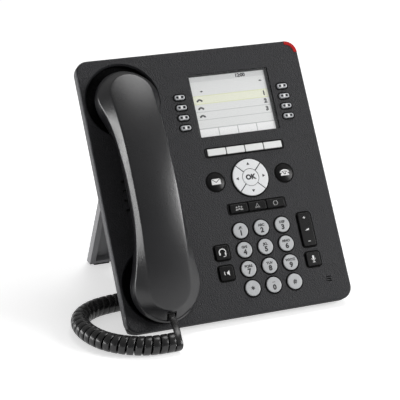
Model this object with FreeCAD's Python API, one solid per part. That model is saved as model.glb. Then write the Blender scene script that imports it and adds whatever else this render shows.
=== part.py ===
import FreeCAD, Part
import math
import os
from FreeCAD import Vector

# Desk phone with a leaning panel, a handset in a two-cup cradle, an easel stand and a curly cord.
# Lengths are in millimetres and angles in degrees.
# Panel frame: x right from the panel's middle, y up the panel from its lower edge, z out of its face.
# Desk frame: X right, Y back from the panel's lower front edge, Z up from the desk.

# Panel and the two halves of the housing
PANEL_W = 201.0
PANEL_CORNER_R = 11.0
PANEL_EDGE_R = 1.8
PANEL_LEAN = 34.1
PANEL_LIFT = 7.0
RIM_DEPTH = 8.0
WALL = 2.5
COVER_DEPTH = 22.0
COVER_STEP = 0.4
COVER_SIDE_TAPER = 11.6
COVER_TOP_TAPER = 15.6
COVER_CORNER_R = 8.0
FOOT_T = 1.5
FOOT_W = 24.0
FOOT_D = 12.0
FOOT_CORNER_R = 3.6
FOOT_X = 62.0
FOOT_FROM_FRONT = 15.0

# Cradle cups, loudspeaker and hook switch
CRADLE_INSET = 35.2
EAR_CUP_AHEAD = 3.0
MOUTH_CUP_AHEAD = 5.0
CUP_R = 31.0
CUP_MARGIN = 6.5
CUP_DEPTH = 5.5
CUP_CHAMFER = 1.6
SPEAKER_BELOW = 2.25
SPEAKER_R = 25.0
SPEAKER_DEPTH = 13.0
SPEAKER_RIM_W = 4.0
SPEAKER_RIM_T = 2.0
SPEAKER_NECK_R = 15.5
SPEAKER_MAGNET_R = 13.75
SPEAKER_BASKET = 7.15
VENT_COUNT = 4
VENT_PITCH = 8.0
VENT_W = 32.0
VENT_H = 2.2
HOOK_BELOW = 15.5
HOOK_W = 10.0
HOOK_H = 5.0
HOOK_TRAVEL = 3.5
HOOK_SPARE = 3.0

# Keys: sizes of caps, how far they stand out, and the lip that holds them behind the face
KEY_RISE = 1.5
KEY_EDGE_R = 0.7
KEY_GAP = 0.35
KEY_LIP_W = 1.0
KEY_LIP_T = 1.0
KEY_LIP_GAP = 0.3
KEY_TRAVEL = 1.2
PILL_ROUND = 0.45
DIAL_X = 12.2
DIAL_PITCH_X = 19.0
DIAL_PITCH_Y = 16.4
DIAL_R = 6.55
ARROW_X = 31.3
ARROW_R = 16.0
ARROW_SPLIT = 0.8
OK_R = 7.3
ROUND_KEY_R = 7.6
ROUND_KEY_OFFSET = 31.3
ROUND_KEY_DOME_R = 26.0
SOFT_X = 31.9
SOFT_W = 17.1
SOFT_H = 6.0
MENU_X = 31.75
MENU_W = 16.6
MENU_H = 7.4
STRIP_SPLIT = 0.5
STRIP_CORNER_R = 0.8
ROW_GAPS = [14.65, 8.8, 5.15, 6.45, 10.75, 21.9]
LINE_LEFT_X = -16.0
LINE_RIGHT_X = 78.4
LINE_AHEAD = 9.2
LINE_PITCH = 8.95
LINE_W = 9.2
LINE_H = 4.0
SIDE_KEY_W = 12.4
SIDE_KEY_H = 12.0
SIDE_KEY_CORNER_R = 2.0
SIDE_LEFT_X = -7.7
SIDE_RIGHT_X = 71.15
HEADSET_BELOW = 16.1
SPEAKER_KEY_BELOW = 33.5
MUTE_BELOW = 33.05
VOLUME_BELOW = 7.25
VOLUME_W = 11.7
VOLUME_H = 29.0
VOLUME_CORNER_R = 2.2
VOLUME_GAP = 0.7
VOLUME_PIN_R = 0.9
VOLUME_PIN_LENGTH = 2.4
VOLUME_PIN_DEPTH = 3.6
PIN_CLEARANCE = 0.1
LUG_WALL = 1.6

# Keypad mat, board and display
MAT_TOUCH = 0.05
DOME_R = 2.6
DOME_FOOT_R = 3.4
DOME_SPARE = 1.8
MAT_T = 1.2
MAT_MARGIN = 7.3
MAT_BOTTOM = 14.0
BOARD_LEFT = -28.0
BOARD_INSET = 12.5
BOARD_BOTTOM = 14.0
BOARD_BELOW = 17.0
BOARD_T = 1.6
BOARD_CORNER_R = 2.0
BOSS_GAP = 1.0
SEAT_GAP = 0.05
DISPLAY_X = 31.7
DISPLAY_W = 69.0
DISPLAY_H = 53.2
WINDOW_BORDER_X = 2.2
WINDOW_BORDER_Y = 1.2
WINDOW_SINK = 1.0
WINDOW_T = 1.2
WINDOW_GAP = 0.15
WINDOW_CORNER_R = 1.5
VIEW_BORDER = 0.3
VIEW_CORNER_R = 0.5
FRAME_W = 3.0
FRAME_T = 1.2
MODULE_BORDER = 3.5
MODULE_CORNER_R = 1.0
MODULE_CHAMFER = 0.4

# Message lamp, base microphone and screws
LAMP_W = 3.6
LAMP_RISE = 0.4
LAMP_GAP = 0.05
MIC_INSET = 18.65
MIC_Y = 18.9
MIC_R = 3.2
MIC_T = 3.0
MIC_SLOT_W = 4.6
MIC_SLOT_H = 0.8
MIC_SLOT_PITCH = 1.8
MIC_SLOT_COUNT = 3
BOSS_R = 3.5
SCREW_INSET_LEFT = 22.5
SCREW_INSET_RIGHT = 21.5
SCREW_PAST_MOUTH = 41.0
SCREW_BEFORE_EAR = 43.5
SCREW_BELOW_ARROWS = 10.3
SCREW_BELOW_TOP = 26.0
SCREW_R = 1.3
SCREW_LENGTH = 9.0
SCREW_HEAD_R = 2.75
SCREW_HEAD_T = 1.4
SCREW_CLEARANCE = 0.3
THREAD_GAP = 0.03

# Socket bay in the back, with the network sockets and the handset socket
BAY_LEFT = -60.0
BAY_RIGHT = -26.0
BAY_BOTTOM = 26.0
BAY_TOP = 78.0
BAY_DEPTH = 15.5
SOCKETS_DEPTH = 18.0
SOCKETS_Z = -20.0
NET_SOCKET_W = 11.8
NET_SOCKET_H = 8.4
NET_SOCKET_DEPTH = 12.5
NET_SOCKET_YS = [51.0, 67.0]
PLUG_SOCKET_Y = 36.0
PLUG_W = 7.7
PLUG_H = 6.4
PLUG_LENGTH = 10.5
PLUG_DEPTH = 7.5
PLUG_GAP = 0.15
PLUG_LATCH_T = 1.2
PLUG_LATCH_START = 1.5
PLUG_NOSE = 0.5
BLOCK_WALL = 2.0

# Easel stand
HINGE_Y = 140.2
HINGE_BEHIND = 5.0
STAND_ANGLE = 28.6
STAND_W = 166.0
STAND_T = 8.0
STAND_WEB = 2.5
STAND_BORDER = 5.0
STAND_CORNER_R = 6.0
STAND_ARCH_W = 120.0
STAND_ARCH_H = 62.0
STAND_ARCH_R = 22.0
STAND_PAD_T = 1.5
STAND_PAD_W = 15.0
STAND_PAD_INSET = 0.5
STAND_PAD_CORNER_R = 1.5
KNUCKLE_X = 50.0
KNUCKLE_W = 8.0
KNUCKLE_GAP = 0.4
HINGE_PIN_R = 2.5
HINGE_SNAP = 3.6

# Handset
EAR_R = 26.0
EAR_Y = 190.5
MOUTH_R = 28.0
MOUTH_Y = 32.0
WAIST = 16.0
WAIST_BEFORE_EAR = 42.5
WAIST_PAST_MOUTH = 63.0
FLANK_LOW = 7.5
# Rise up the flank, with how much wider the grip and how much smaller the two ends are there
FLANK_LEVELS = [(0.0, 0.0, 0.0, 0.0), (5.5, 1.2, 1.4, 1.6), (17.8, 3.7, 6.8, 9.9), (21.8, 3.7, 8.1, 11.4),
                (34.5, 1.0, 13.8, 15.9)]
TOP_EAR_BACK = 4.1
TOP_MOUTH_ON = 12.0
ARCH_PAST_MIDDLE = 5.95
ARCH_TOP = 41.1
ARCH_R = 241.4
ARCH_CROWN_R = 110.0
ARCH_SWING = 32.0
PARTING_TOP = 22.0
PARTING_R = 480.0
SHELL_WALL = 2.2
CUP_SEAT_GAP = 0.3
FACE_EAR_R = 22.5
FACE_MOUTH_R = 23.5
FACE_WAIST = 13.0
TAPER_TOP = 5.0
GRIP_UNDER = 17.0
GRIP_SHOULDER = 15.0
GRIP_PAST_MOUTH = 54.2
GRIP_BEFORE_EAR = 40.3
GRIP_BULGE = 0.68
EARPIECE_R = 15.0
EARPIECE_T = 6.0
EAR_HOLE_R = 1.3
EAR_HOLE_RING = 6.5
EAR_HOLE_COUNT = 6
CAPSULE_R = 5.0
CAPSULE_T = 5.0
MOUTH_SLOT_W = 12.0
MOUTH_SLOT_H = 2.0
MOUTH_SLOT_PITCH = 5.0
HANDSET_PLUG_INSET = 6.0
HANDSET_PLUG_Z = 12.0

# Curly cord: wire, curls, and the line that the curls follow over the desk, in the desk frame
WIRE_D = 3.4
CURL_R = 6.0
CURL_PITCH = 6.2
CURL_POINTS = 4
DESK_GAP = 0.1
COIL_LINE = [(-64, -25), (-81.5, -26), (-98, -22.5), (-112, -14), (-123, -1.5), (-129.5, 15),
             (-131, 32), (-125.5, 46.5), (-112.5, 56.5), (-98.5, 60), (-82, 61.5), (-52, 60)]
COIL_START = 5.5
HANDSET_LEAD = [(-65.7, -20.5, 15.8), (-66.4, -27.5, 12.6)]
BASE_LEAD = [(-53.5, 52.6, 15.5), (-49, 47.5, 21.5), (-42.5, 41, 25)]
COIL_SAMPLES = 24

EAR_CUP_Y = EAR_Y + EAR_CUP_AHEAD
MOUTH_CUP_Y = MOUTH_Y + MOUTH_CUP_AHEAD
CRADLE_X = CRADLE_INSET - PANEL_W / 2
PANEL_H = EAR_CUP_Y + CUP_R + CUP_MARGIN
SPEAKER_Y = (EAR_CUP_Y + MOUTH_CUP_Y) / 2 - SPEAKER_BELOW
HOOK_Y = EAR_CUP_Y - HOOK_BELOW
WAIST_EAR_Y = EAR_Y - WAIST_BEFORE_EAR
WAIST_MOUTH_Y = MOUTH_Y + WAIST_PAST_MOUTH
ARCH_Y = (EAR_Y + MOUTH_Y) / 2 + ARCH_PAST_MIDDLE
GRIP_EAR_Y = EAR_Y - GRIP_BEFORE_EAR
GRIP_MOUTH_Y = MOUTH_Y + GRIP_PAST_MOUTH
HANDSET_PLUG_Y = MOUTH_Y - MOUTH_R + HANDSET_PLUG_INSET

# Rows of keys from the panel's lower edge up: dial, menu strip, arrows, soft keys and display.
# The spare height is shared out between them.
DIAL_H = 3 * DIAL_PITCH_Y + 2 * DIAL_R
WINDOW_H = DISPLAY_H + 2 * WINDOW_BORDER_Y
SPARE_H = PANEL_H - DIAL_H - MENU_H - 2 * ARROW_R - SOFT_H - WINDOW_H
GAPS = [gap * SPARE_H / sum(ROW_GAPS) for gap in ROW_GAPS]
DIAL_Y = GAPS[0] + DIAL_H - DIAL_R
MENU_Y = DIAL_Y + DIAL_R + GAPS[1] + MENU_H / 2
ARROW_Y = MENU_Y + MENU_H / 2 + GAPS[2] + ARROW_R
SOFT_Y = ARROW_Y + ARROW_R + GAPS[3] + SOFT_H / 2
DISPLAY_Y = SOFT_Y + SOFT_H / 2 + GAPS[4] + WINDOW_H / 2
LINE_Y = DISPLAY_Y + LINE_AHEAD
HEADSET_Y = DIAL_Y - HEADSET_BELOW
SPEAKER_KEY_Y = DIAL_Y - SPEAKER_KEY_BELOW
MUTE_Y = DIAL_Y - MUTE_BELOW
VOLUME_Y = DIAL_Y - VOLUME_BELOW
MAT_LEFT = LINE_LEFT_X - MAT_MARGIN
MAT_RIGHT = LINE_RIGHT_X + MAT_MARGIN
MAT_TOP_Y = LINE_Y + MAT_MARGIN
BOARD_RIGHT = PANEL_W / 2 - BOARD_INSET
BOARD_TOP = PANEL_H - BOARD_BELOW
MIC_X = PANEL_W / 2 - MIC_INSET
SCREW_LEFT = SCREW_INSET_LEFT - PANEL_W / 2
SCREW_RIGHT = PANEL_W / 2 - SCREW_INSET_RIGHT
SCREW_SPOTS = [(SCREW_LEFT, MOUTH_CUP_Y + SCREW_PAST_MOUTH), (SCREW_LEFT, EAR_CUP_Y - SCREW_BEFORE_EAR),
               (SCREW_RIGHT, ARROW_Y - SCREW_BELOW_ARROWS), (SCREW_RIGHT, PANEL_H - SCREW_BELOW_TOP)]

LEAN_SIN = math.sin(math.radians(PANEL_LEAN))
LEAN_COS = math.cos(math.radians(PANEL_LEAN))
COVER_BACK = -(RIM_DEPTH + COVER_DEPTH)
LIP_TOP = -(WALL + KEY_LIP_GAP)
LIP_BOTTOM = LIP_TOP - KEY_LIP_T
DOME_H = KEY_TRAVEL + DOME_SPARE
DOME_TOP = LIP_BOTTOM - MAT_TOUCH
MAT_TOP = DOME_TOP - DOME_H
MAT_BOTTOM_Z = MAT_TOP - MAT_T
BOARD_FRONT = MAT_BOTTOM_Z - SEAT_GAP
BOARD_BACK = BOARD_FRONT - BOARD_T
WINDOW_BACK = -(WINDOW_SINK + WINDOW_T)
FRAME_BACK = WINDOW_BACK - FRAME_T
HINGE_Z = COVER_BACK - HINGE_BEHIND
HOOK_LENGTH = WALL + HOOK_TRAVEL + HOOK_SPARE
CUP_FLOOR = -CUP_DEPTH
CUP_FACE = CUP_FLOOR + CUP_SEAT_GAP


def desk_point(x, y, z):
    """A point of the panel frame, in the desk frame."""
    return Vector(x, y * LEAN_SIN - z * LEAN_COS, y * LEAN_COS + z * LEAN_SIN + PANEL_LIFT)


def to_desk(shape):
    """A shape of the panel frame, leaned back and lifted into the desk frame."""
    leaned = shape.copy()
    leaned.rotate(Vector(0, 0, 0), Vector(1, 0, 0), 90 - PANEL_LEAN)
    leaned.translate(Vector(0, 0, PANEL_LIFT))
    return leaned


def to_panel(shape):
    """A shape of the desk frame, brought back into the panel frame."""
    upright = shape.copy()
    upright.translate(Vector(0, 0, -PANEL_LIFT))
    upright.rotate(Vector(0, 0, 0), Vector(1, 0, 0), PANEL_LEAN - 90)
    return upright


def block(x0, x1, y0, y1, z0, z1):
    return Part.makeBox(x1 - x0, y1 - y0, z1 - z0, Vector(x0, y0, z0))


def slab(x, y, w, h, z0, z1):
    """A square-cornered block about its middle."""
    return block(x - w / 2, x + w / 2, y - h / 2, y + h / 2, z0, z1)


def disc(x, y, r, z0, z1):
    return Part.makeCylinder(r, z1 - z0, Vector(x, y, z0))


def rod(x0, x1, y, z, r):
    """A cylinder along x."""
    return Part.makeCylinder(r, x1 - x0, Vector(x0, y, z), Vector(1, 0, 0))


def line(a, b):
    return Part.LineSegment(a, b).toShape()


def arc(a, b, c):
    return Part.Arc(a, b, c).toShape()


def rounded_wire(x0, x1, y0, y1, r, z):
    """A rectangle with round corners."""
    edges = []
    corners = [(x1 - r, y0 + r, -90), (x1 - r, y1 - r, 0), (x0 + r, y1 - r, 90), (x0 + r, y0 + r, 180)]
    points = []
    for cx, cy, start in corners:
        for turn in (0, 45, 90):
            angle = math.radians(start + turn)
            points.append(Vector(cx + r * math.cos(angle), cy + r * math.sin(angle), z))
    for i in range(0, 12, 3):
        edges.append(arc(points[i], points[i + 1], points[i + 2]))
        edges.append(line(points[i + 2], points[(i + 3) % 12]))
    return Part.Wire(edges)


def plate(x0, x1, y0, y1, r, z0, z1):
    return Part.Face(rounded_wire(x0, x1, y0, y1, r, z0)).extrude(Vector(0, 0, z1 - z0))


def edges_at(shape, z):
    """Edges that lie flat at height z."""
    boxes = [(e, e.BoundBox) for e in shape.Edges]
    return [e for e, box in boxes if abs(box.ZMin - z) < 1e-4 and abs(box.ZMax - z) < 1e-4]


def fuse_all(shapes):
    joined = shapes[0]
    if len(shapes) > 1:
        joined = joined.multiFuse(shapes[1:])
    return joined.removeSplitter()


def round_outline(x, y, r):
    """How a round key's outline grows: used for its cap, its lip and its hole."""
    return lambda grow_x, grow_y, z0, z1: disc(x, y, r + grow_x, z0, z1)


def bar_outline(x, y, w, h, r):
    """How a rounded bar's outline grows, as for a round key."""
    def outline(grow_x, grow_y, z0, z1):
        half_w = w / 2 + grow_x
        half_h = h / 2 + grow_y
        corner = r + min(grow_x, grow_y)
        return plate(x - half_w, x + half_w, y - half_h, y + half_h, corner, z0, z1)
    return outline


def pill_outline(x, y, w, h):
    return bar_outline(x, y, w, h, h * PILL_ROUND)


def key_outlines():
    """Each key that has one outline of its own: name, outline, lip in x, lip in y, domed."""
    keys = []
    names = ["1", "2", "3", "4", "5", "6", "7", "8", "9", "star", "0", "hash"]
    for i, name in enumerate(names):
        x = DIAL_X + DIAL_PITCH_X * (i % 3)
        y = DIAL_Y - DIAL_PITCH_Y * (i // 3)
        keys.append(("dial_key_" + name, round_outline(x, y, DIAL_R), KEY_LIP_W, KEY_LIP_W, False))
    keys.append(("ok_key", round_outline(ARROW_X, ARROW_Y, OK_R), 0.0, 0.0, False))
    for name, side in (("message_key", -1), ("phone_key", 1)):
        outline = round_outline(ARROW_X + side * ROUND_KEY_OFFSET, ARROW_Y, ROUND_KEY_R)
        keys.append((name, outline, KEY_LIP_W, KEY_LIP_W, True))
    for i in range(4):
        x = SOFT_X + (i - 1.5) * SOFT_W
        outline = bar_outline(x, SOFT_Y, SOFT_W - STRIP_SPLIT, SOFT_H, STRIP_CORNER_R)
        keys.append((f"soft_key_{i + 1}", outline, 0.0, KEY_LIP_W, False))
    for i, name in enumerate(("contacts_key", "menu_key", "history_key")):
        x = MENU_X + (i - 1) * MENU_W
        outline = bar_outline(x, MENU_Y, MENU_W - STRIP_SPLIT, MENU_H, STRIP_CORNER_R)
        keys.append((name, outline, 0.0, KEY_LIP_W, False))
    for side, x in (("left", LINE_LEFT_X), ("right", LINE_RIGHT_X)):
        for i in range(4):
            outline = pill_outline(x, LINE_Y - LINE_PITCH * i, LINE_W, LINE_H)
            keys.append((f"line_key_{side}_{i + 1}", outline, KEY_LIP_W, KEY_LIP_W, False))
    side_keys = [("headset_key", SIDE_LEFT_X, HEADSET_Y), ("speaker_key", SIDE_LEFT_X, SPEAKER_KEY_Y),
                 ("mute_key", SIDE_RIGHT_X, MUTE_Y)]
    for name, x, y in side_keys:
        outline = bar_outline(x, y, SIDE_KEY_W, SIDE_KEY_H, SIDE_KEY_CORNER_R)
        keys.append((name, outline, KEY_LIP_W, KEY_LIP_W, False))
    return keys


def key_solid(outline, lip_x, lip_y, domed):
    cap = outline(0.0, 0.0, LIP_TOP, KEY_RISE)
    if domed:
        box = cap.BoundBox
        ball_top = Vector(box.Center.x, box.Center.y, KEY_RISE - ROUND_KEY_DOME_R)
        cap = cap.common(Part.makeSphere(ROUND_KEY_DOME_R, ball_top))
    else:
        cap = cap.makeFillet(KEY_EDGE_R, edges_at(cap, KEY_RISE))
    lip = outline(lip_x, lip_y, LIP_BOTTOM, LIP_TOP)
    return fuse_all([cap, lip])


def arrow_keys():
    """A ring round the OK key, split along its diagonals into four keys."""
    inner_r = OK_R + KEY_GAP
    cap = disc(ARROW_X, ARROW_Y, ARROW_R, LIP_TOP, KEY_RISE)
    cap = cap.makeFillet(KEY_EDGE_R, edges_at(cap, KEY_RISE))
    ring = fuse_all([cap, disc(ARROW_X, ARROW_Y, ARROW_R + KEY_LIP_W, LIP_BOTTOM, LIP_TOP)])
    ring = ring.cut(disc(ARROW_X, ARROW_Y, inner_r, LIP_BOTTOM - 1, KEY_RISE + 1))
    reach = ARROW_R + 2 * KEY_LIP_W
    for turn in (45, 135):
        slot = block(-reach, reach, -ARROW_SPLIT / 2, ARROW_SPLIT / 2, LIP_BOTTOM - 1, KEY_RISE + 1)
        slot.rotate(Vector(0, 0, 0), Vector(0, 0, 1), turn)
        slot.translate(Vector(ARROW_X, ARROW_Y, 0))
        ring = ring.cut(slot)
    keys = {}
    for solid in ring.Solids:
        dx = solid.CenterOfMass.x - ARROW_X
        dy = solid.CenterOfMass.y - ARROW_Y
        if abs(dx) > abs(dy):
            name = "right" if dx > 0 else "left"
        else:
            name = "up" if dy > 0 else "down"
        keys["nav_" + name] = solid
    return keys


def volume_rod(reach, r):
    """A rod on the rocker's hinge line, reaching past both its sides."""
    half = VOLUME_W / 2 + reach
    return rod(SIDE_RIGHT_X - half, SIDE_RIGHT_X + half, VOLUME_Y, -VOLUME_PIN_DEPTH, r)


def volume_rocker():
    outline = bar_outline(SIDE_RIGHT_X, VOLUME_Y, VOLUME_W, VOLUME_H, VOLUME_CORNER_R)
    body = key_solid(outline, 0.0, 0.0, False)
    boss = volume_rod(0.0, VOLUME_PIN_DEPTH - WALL)
    pin = volume_rod(VOLUME_PIN_LENGTH, VOLUME_PIN_R)
    return fuse_all([body, boss, pin])


def volume_lugs():
    """Two lugs behind the face that carry the rocker's pins."""
    lugs = []
    reach = VOLUME_PIN_R + PIN_CLEARANCE + LUG_WALL
    for side in (-1, 1):
        x = SIDE_RIGHT_X + side * (VOLUME_W / 2 + KEY_GAP + VOLUME_PIN_LENGTH / 2)
        lugs.append(slab(x, VOLUME_Y, VOLUME_PIN_LENGTH, 2 * reach, -VOLUME_PIN_DEPTH - reach, -WALL / 2))
    return lugs


def volume_bores():
    """The bores in the two lugs that the rocker's pins turn in."""
    return volume_rod(KEY_GAP + VOLUME_PIN_LENGTH + 1, VOLUME_PIN_R + PIN_CLEARANCE)


def key_holes():
    """Openings in the face: one for each key, strip of keys, arrow ring and rocker."""
    low = -WALL - 1
    high = 1.0
    holes = []
    for name, outline, lip_x, lip_y, domed in key_outlines():
        if lip_x > 0:
            holes.append(outline(KEY_GAP, KEY_GAP, low, high))
    strips = [(SOFT_X, SOFT_Y, 4 * SOFT_W, SOFT_H), (MENU_X, MENU_Y, 3 * MENU_W, MENU_H)]
    for x, y, w, h in strips:
        holes.append(bar_outline(x, y, w, h, STRIP_CORNER_R)(KEY_GAP, KEY_GAP, low, high))
    holes.append(disc(ARROW_X, ARROW_Y, ARROW_R + KEY_GAP, low, high))
    rocker = bar_outline(SIDE_RIGHT_X, VOLUME_Y, VOLUME_W, VOLUME_H, VOLUME_CORNER_R)
    holes.append(rocker(KEY_GAP, VOLUME_GAP, low, high))
    return holes


def display_plate(border_x, border_y, r, z0, z1):
    outline = bar_outline(DISPLAY_X, DISPLAY_Y, DISPLAY_W + 2 * border_x, DISPLAY_H + 2 * border_y, r)
    return outline(0, 0, z0, z1)


def lamp_ring(grow, z0, z1):
    """A quarter ring that follows the panel's upper right corner."""
    x = PANEL_W / 2 - PANEL_CORNER_R
    y = PANEL_H - PANEL_CORNER_R
    ring = disc(x, y, PANEL_CORNER_R, z0, z1).cut(disc(x, y, PANEL_CORNER_R - LAMP_W - grow, z0, z1))
    return ring.common(block(x - grow, x + PANEL_CORNER_R, y - grow, y + PANEL_CORNER_R, z0, z1))


def hook_outline(grow, z0, z1):
    return pill_outline(CRADLE_X, HOOK_Y, HOOK_W, HOOK_H)(grow, grow, z0, z1)


def face_openings():
    """Everything cut into the front housing."""
    cuts = key_holes()
    for y in (EAR_CUP_Y, MOUTH_CUP_Y):
        cuts.append(disc(CRADLE_X, y, CUP_R, CUP_FLOOR, 1))
        rim = Vector(CRADLE_X, y, -CUP_CHAMFER)
        cuts.append(Part.makeCone(CUP_R, CUP_R + CUP_CHAMFER, CUP_CHAMFER, rim))
    for i in range(VENT_COUNT):
        y = SPEAKER_Y + (i - (VENT_COUNT - 1) / 2) * VENT_PITCH
        cuts.append(pill_outline(CRADLE_X, y, VENT_W, VENT_H)(0, 0, -WALL - 1, 1))
    for i in range(MIC_SLOT_COUNT):
        y = MIC_Y + (i - (MIC_SLOT_COUNT - 1) / 2) * MIC_SLOT_PITCH
        cuts.append(slab(MIC_X, y, MIC_SLOT_W, MIC_SLOT_H, -WALL - 1, 1))
    seat_x = WINDOW_BORDER_X + WINDOW_GAP
    seat_y = WINDOW_BORDER_Y + WINDOW_GAP
    cuts.append(display_plate(seat_x, seat_y, WINDOW_CORNER_R, WINDOW_BACK, 1))
    cuts.append(display_plate(VIEW_BORDER, VIEW_BORDER, VIEW_CORNER_R, FRAME_BACK - 1, 1))
    cuts.append(lamp_ring(LAMP_GAP, -RIM_DEPTH - 1, 1))
    cuts.append(hook_outline(KEY_GAP, CUP_FLOOR - WALL - 1, 0))
    cuts.append(volume_bores())
    for x, y in SCREW_SPOTS:
        cuts.append(disc(x, y, SCREW_R + THREAD_GAP, COVER_BACK, COVER_BACK + WALL + SCREW_LENGTH))
    return cuts


def front_housing():
    half = PANEL_W / 2
    inner_half = half - WALL
    outer = plate(-half, half, 0, PANEL_H, PANEL_CORNER_R, -RIM_DEPTH, 0)
    outer = outer.makeFillet(PANEL_EDGE_R, edges_at(outer, 0))
    inner_r = PANEL_CORNER_R - WALL
    inner = plate(-inner_half, inner_half, WALL, PANEL_H - WALL, inner_r, -RIM_DEPTH - 1, -WALL)
    pieces = [outer.cut(inner)]
    for y in (EAR_CUP_Y, MOUTH_CUP_Y):
        pieces.append(disc(CRADLE_X, y, CUP_R + WALL, CUP_FLOOR - WALL, -WALL / 2))
    for x, y in SCREW_SPOTS:
        pieces.append(disc(x, y, BOSS_R, COVER_BACK + WALL + SEAT_GAP, -WALL / 2))
    frame_x = WINDOW_BORDER_X + FRAME_W
    frame_y = WINDOW_BORDER_Y + FRAME_W
    pieces.append(display_plate(frame_x, frame_y, WINDOW_CORNER_R, FRAME_BACK, -WALL / 2))
    pieces += volume_lugs()
    return fuse_all(pieces).cut(face_openings())


def desk_half(height):
    """Everything above a height over the desk, in the panel frame."""
    reach = 2 * (PANEL_W + PANEL_H)
    return to_panel(block(-reach, reach, -reach, reach, height, reach))


def cover_tub(inset, low_z, height):
    """The tapered back of the housing, trimmed level near the desk."""
    half = PANEL_W / 2 - COVER_STEP - inset
    low = COVER_STEP + inset
    top = PANEL_H - COVER_STEP - inset
    corner = PANEL_CORNER_R - COVER_STEP - inset / 2
    below = low - PANEL_CORNER_R
    front = rounded_wire(-half, half, below, top, corner, -RIM_DEPTH)
    half_back = half - COVER_SIDE_TAPER
    back = rounded_wire(-half_back, half_back, below, top - COVER_TOP_TAPER, COVER_CORNER_R, COVER_BACK)
    tub = Part.makeLoft([back, front], True, True)
    outline = plate(-half, half, low, PANEL_H, corner, low_z, 0)
    return tub.common(outline).common(desk_half(height))


def socket_block_span():
    low = PLUG_SOCKET_Y - PLUG_W / 2 - BLOCK_WALL
    high = NET_SOCKET_YS[-1] + NET_SOCKET_W / 2 + BLOCK_WALL
    return low, high


def hinge_lug(x):
    """An open hook on the cover that the stand's hinge pin snaps into."""
    r = HINGE_BEHIND
    left = x - KNUCKLE_W / 2
    right = x + KNUCKLE_W / 2
    lug = rod(left, right, HINGE_Y, HINGE_Z, r)
    root = block(left, right, HINGE_Y - r, HINGE_Y + r, HINGE_Z, COVER_BACK + WALL / 2)
    bore = rod(left - 1, right + 1, HINGE_Y, HINGE_Z, HINGE_PIN_R + PIN_CLEARANCE)
    half_mouth = HINGE_SNAP / 2
    mouth = block(left - 1, right + 1, HINGE_Y, HINGE_Y + 2 * r, HINGE_Z - half_mouth, HINGE_Z + half_mouth)
    return lug.fuse(root).cut([bore, mouth])


def rear_cover():
    outer = cover_tub(0.0, COVER_BACK, FOOT_T)
    inner = cover_tub(WALL, COVER_BACK + WALL, FOOT_T + WALL)
    bay_floor = COVER_BACK + BAY_DEPTH
    pocket = block(BAY_LEFT - WALL, BAY_RIGHT + WALL, BAY_BOTTOM - WALL, BAY_TOP + WALL,
                   COVER_BACK, bay_floor + WALL)
    cover = fuse_all([outer.cut(inner), pocket, hinge_lug(-KNUCKLE_X), hinge_lug(KNUCKLE_X)])
    low, high = socket_block_span()
    sockets_back = SOCKETS_Z - NET_SOCKET_H / 2 - BLOCK_WALL
    cuts = [block(BAY_LEFT, BAY_RIGHT, BAY_BOTTOM, BAY_TOP, COVER_BACK - 1, bay_floor),
            block(BAY_RIGHT - PLUG_GAP, BAY_RIGHT + WALL + 1, low - PLUG_GAP, high + PLUG_GAP,
                  sockets_back - PLUG_GAP, 0)]
    head_r = SCREW_HEAD_R + SCREW_CLEARANCE
    for x, y in SCREW_SPOTS:
        cuts.append(disc(x, y, SCREW_R + SCREW_CLEARANCE, COVER_BACK - 1, COVER_BACK + WALL + 1))
        cuts.append(disc(x, y, head_r, COVER_BACK - 1, COVER_BACK + SCREW_HEAD_T))
    return cover.cut(cuts)


def cover_screws():
    screws = []
    for x, y in SCREW_SPOTS:
        shank = disc(x, y, SCREW_R, COVER_BACK + SCREW_HEAD_T, COVER_BACK + WALL + SCREW_LENGTH - 1)
        head = disc(x, y, SCREW_HEAD_R, COVER_BACK, COVER_BACK + SCREW_HEAD_T)
        screws.append(fuse_all([shank, head]))
    return Part.makeCompound(screws)


def rubber_feet():
    """Two pads under the level lower edge of the cover, in the desk frame."""
    y = FOOT_FROM_FRONT + FOOT_D / 2
    outlines = [bar_outline(x, y, FOOT_W, FOOT_D, FOOT_CORNER_R) for x in (-FOOT_X, FOOT_X)]
    pads = [outline(0, 0, 0, FOOT_T) for outline in outlines]
    return Part.makeCompound(pads)


def socket(y, w, h, depth):
    """The hollow of one socket, open towards the bay."""
    x = BAY_RIGHT + (depth - 1) / 2
    return slab(x, y, depth + 1, w, SOCKETS_Z - h / 2, SOCKETS_Z + h / 2)


def board_jacks():
    """The block of sockets on the board's back."""
    low, high = socket_block_span()
    back = SOCKETS_Z - NET_SOCKET_H / 2 - BLOCK_WALL
    body = block(BAY_RIGHT, BAY_RIGHT + SOCKETS_DEPTH, low, high, back, BOARD_BACK - SEAT_GAP)
    cuts = [socket(y, NET_SOCKET_W, NET_SOCKET_H, NET_SOCKET_DEPTH) for y in NET_SOCKET_YS]
    cuts.append(socket(PLUG_SOCKET_Y, PLUG_W + 2 * PLUG_GAP, PLUG_H + 2 * PLUG_GAP, PLUG_DEPTH + PLUG_GAP))
    return body.cut(cuts)


def main_board():
    board = plate(BOARD_LEFT, BOARD_RIGHT, BOARD_BOTTOM, BOARD_TOP, BOARD_CORNER_R, BOARD_BACK, BOARD_FRONT)
    holes = [disc(x, y, BOSS_R + BOSS_GAP, BOARD_BACK - 1, BOARD_FRONT + 1) for x, y in SCREW_SPOTS]
    return board.cut(holes)


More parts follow.
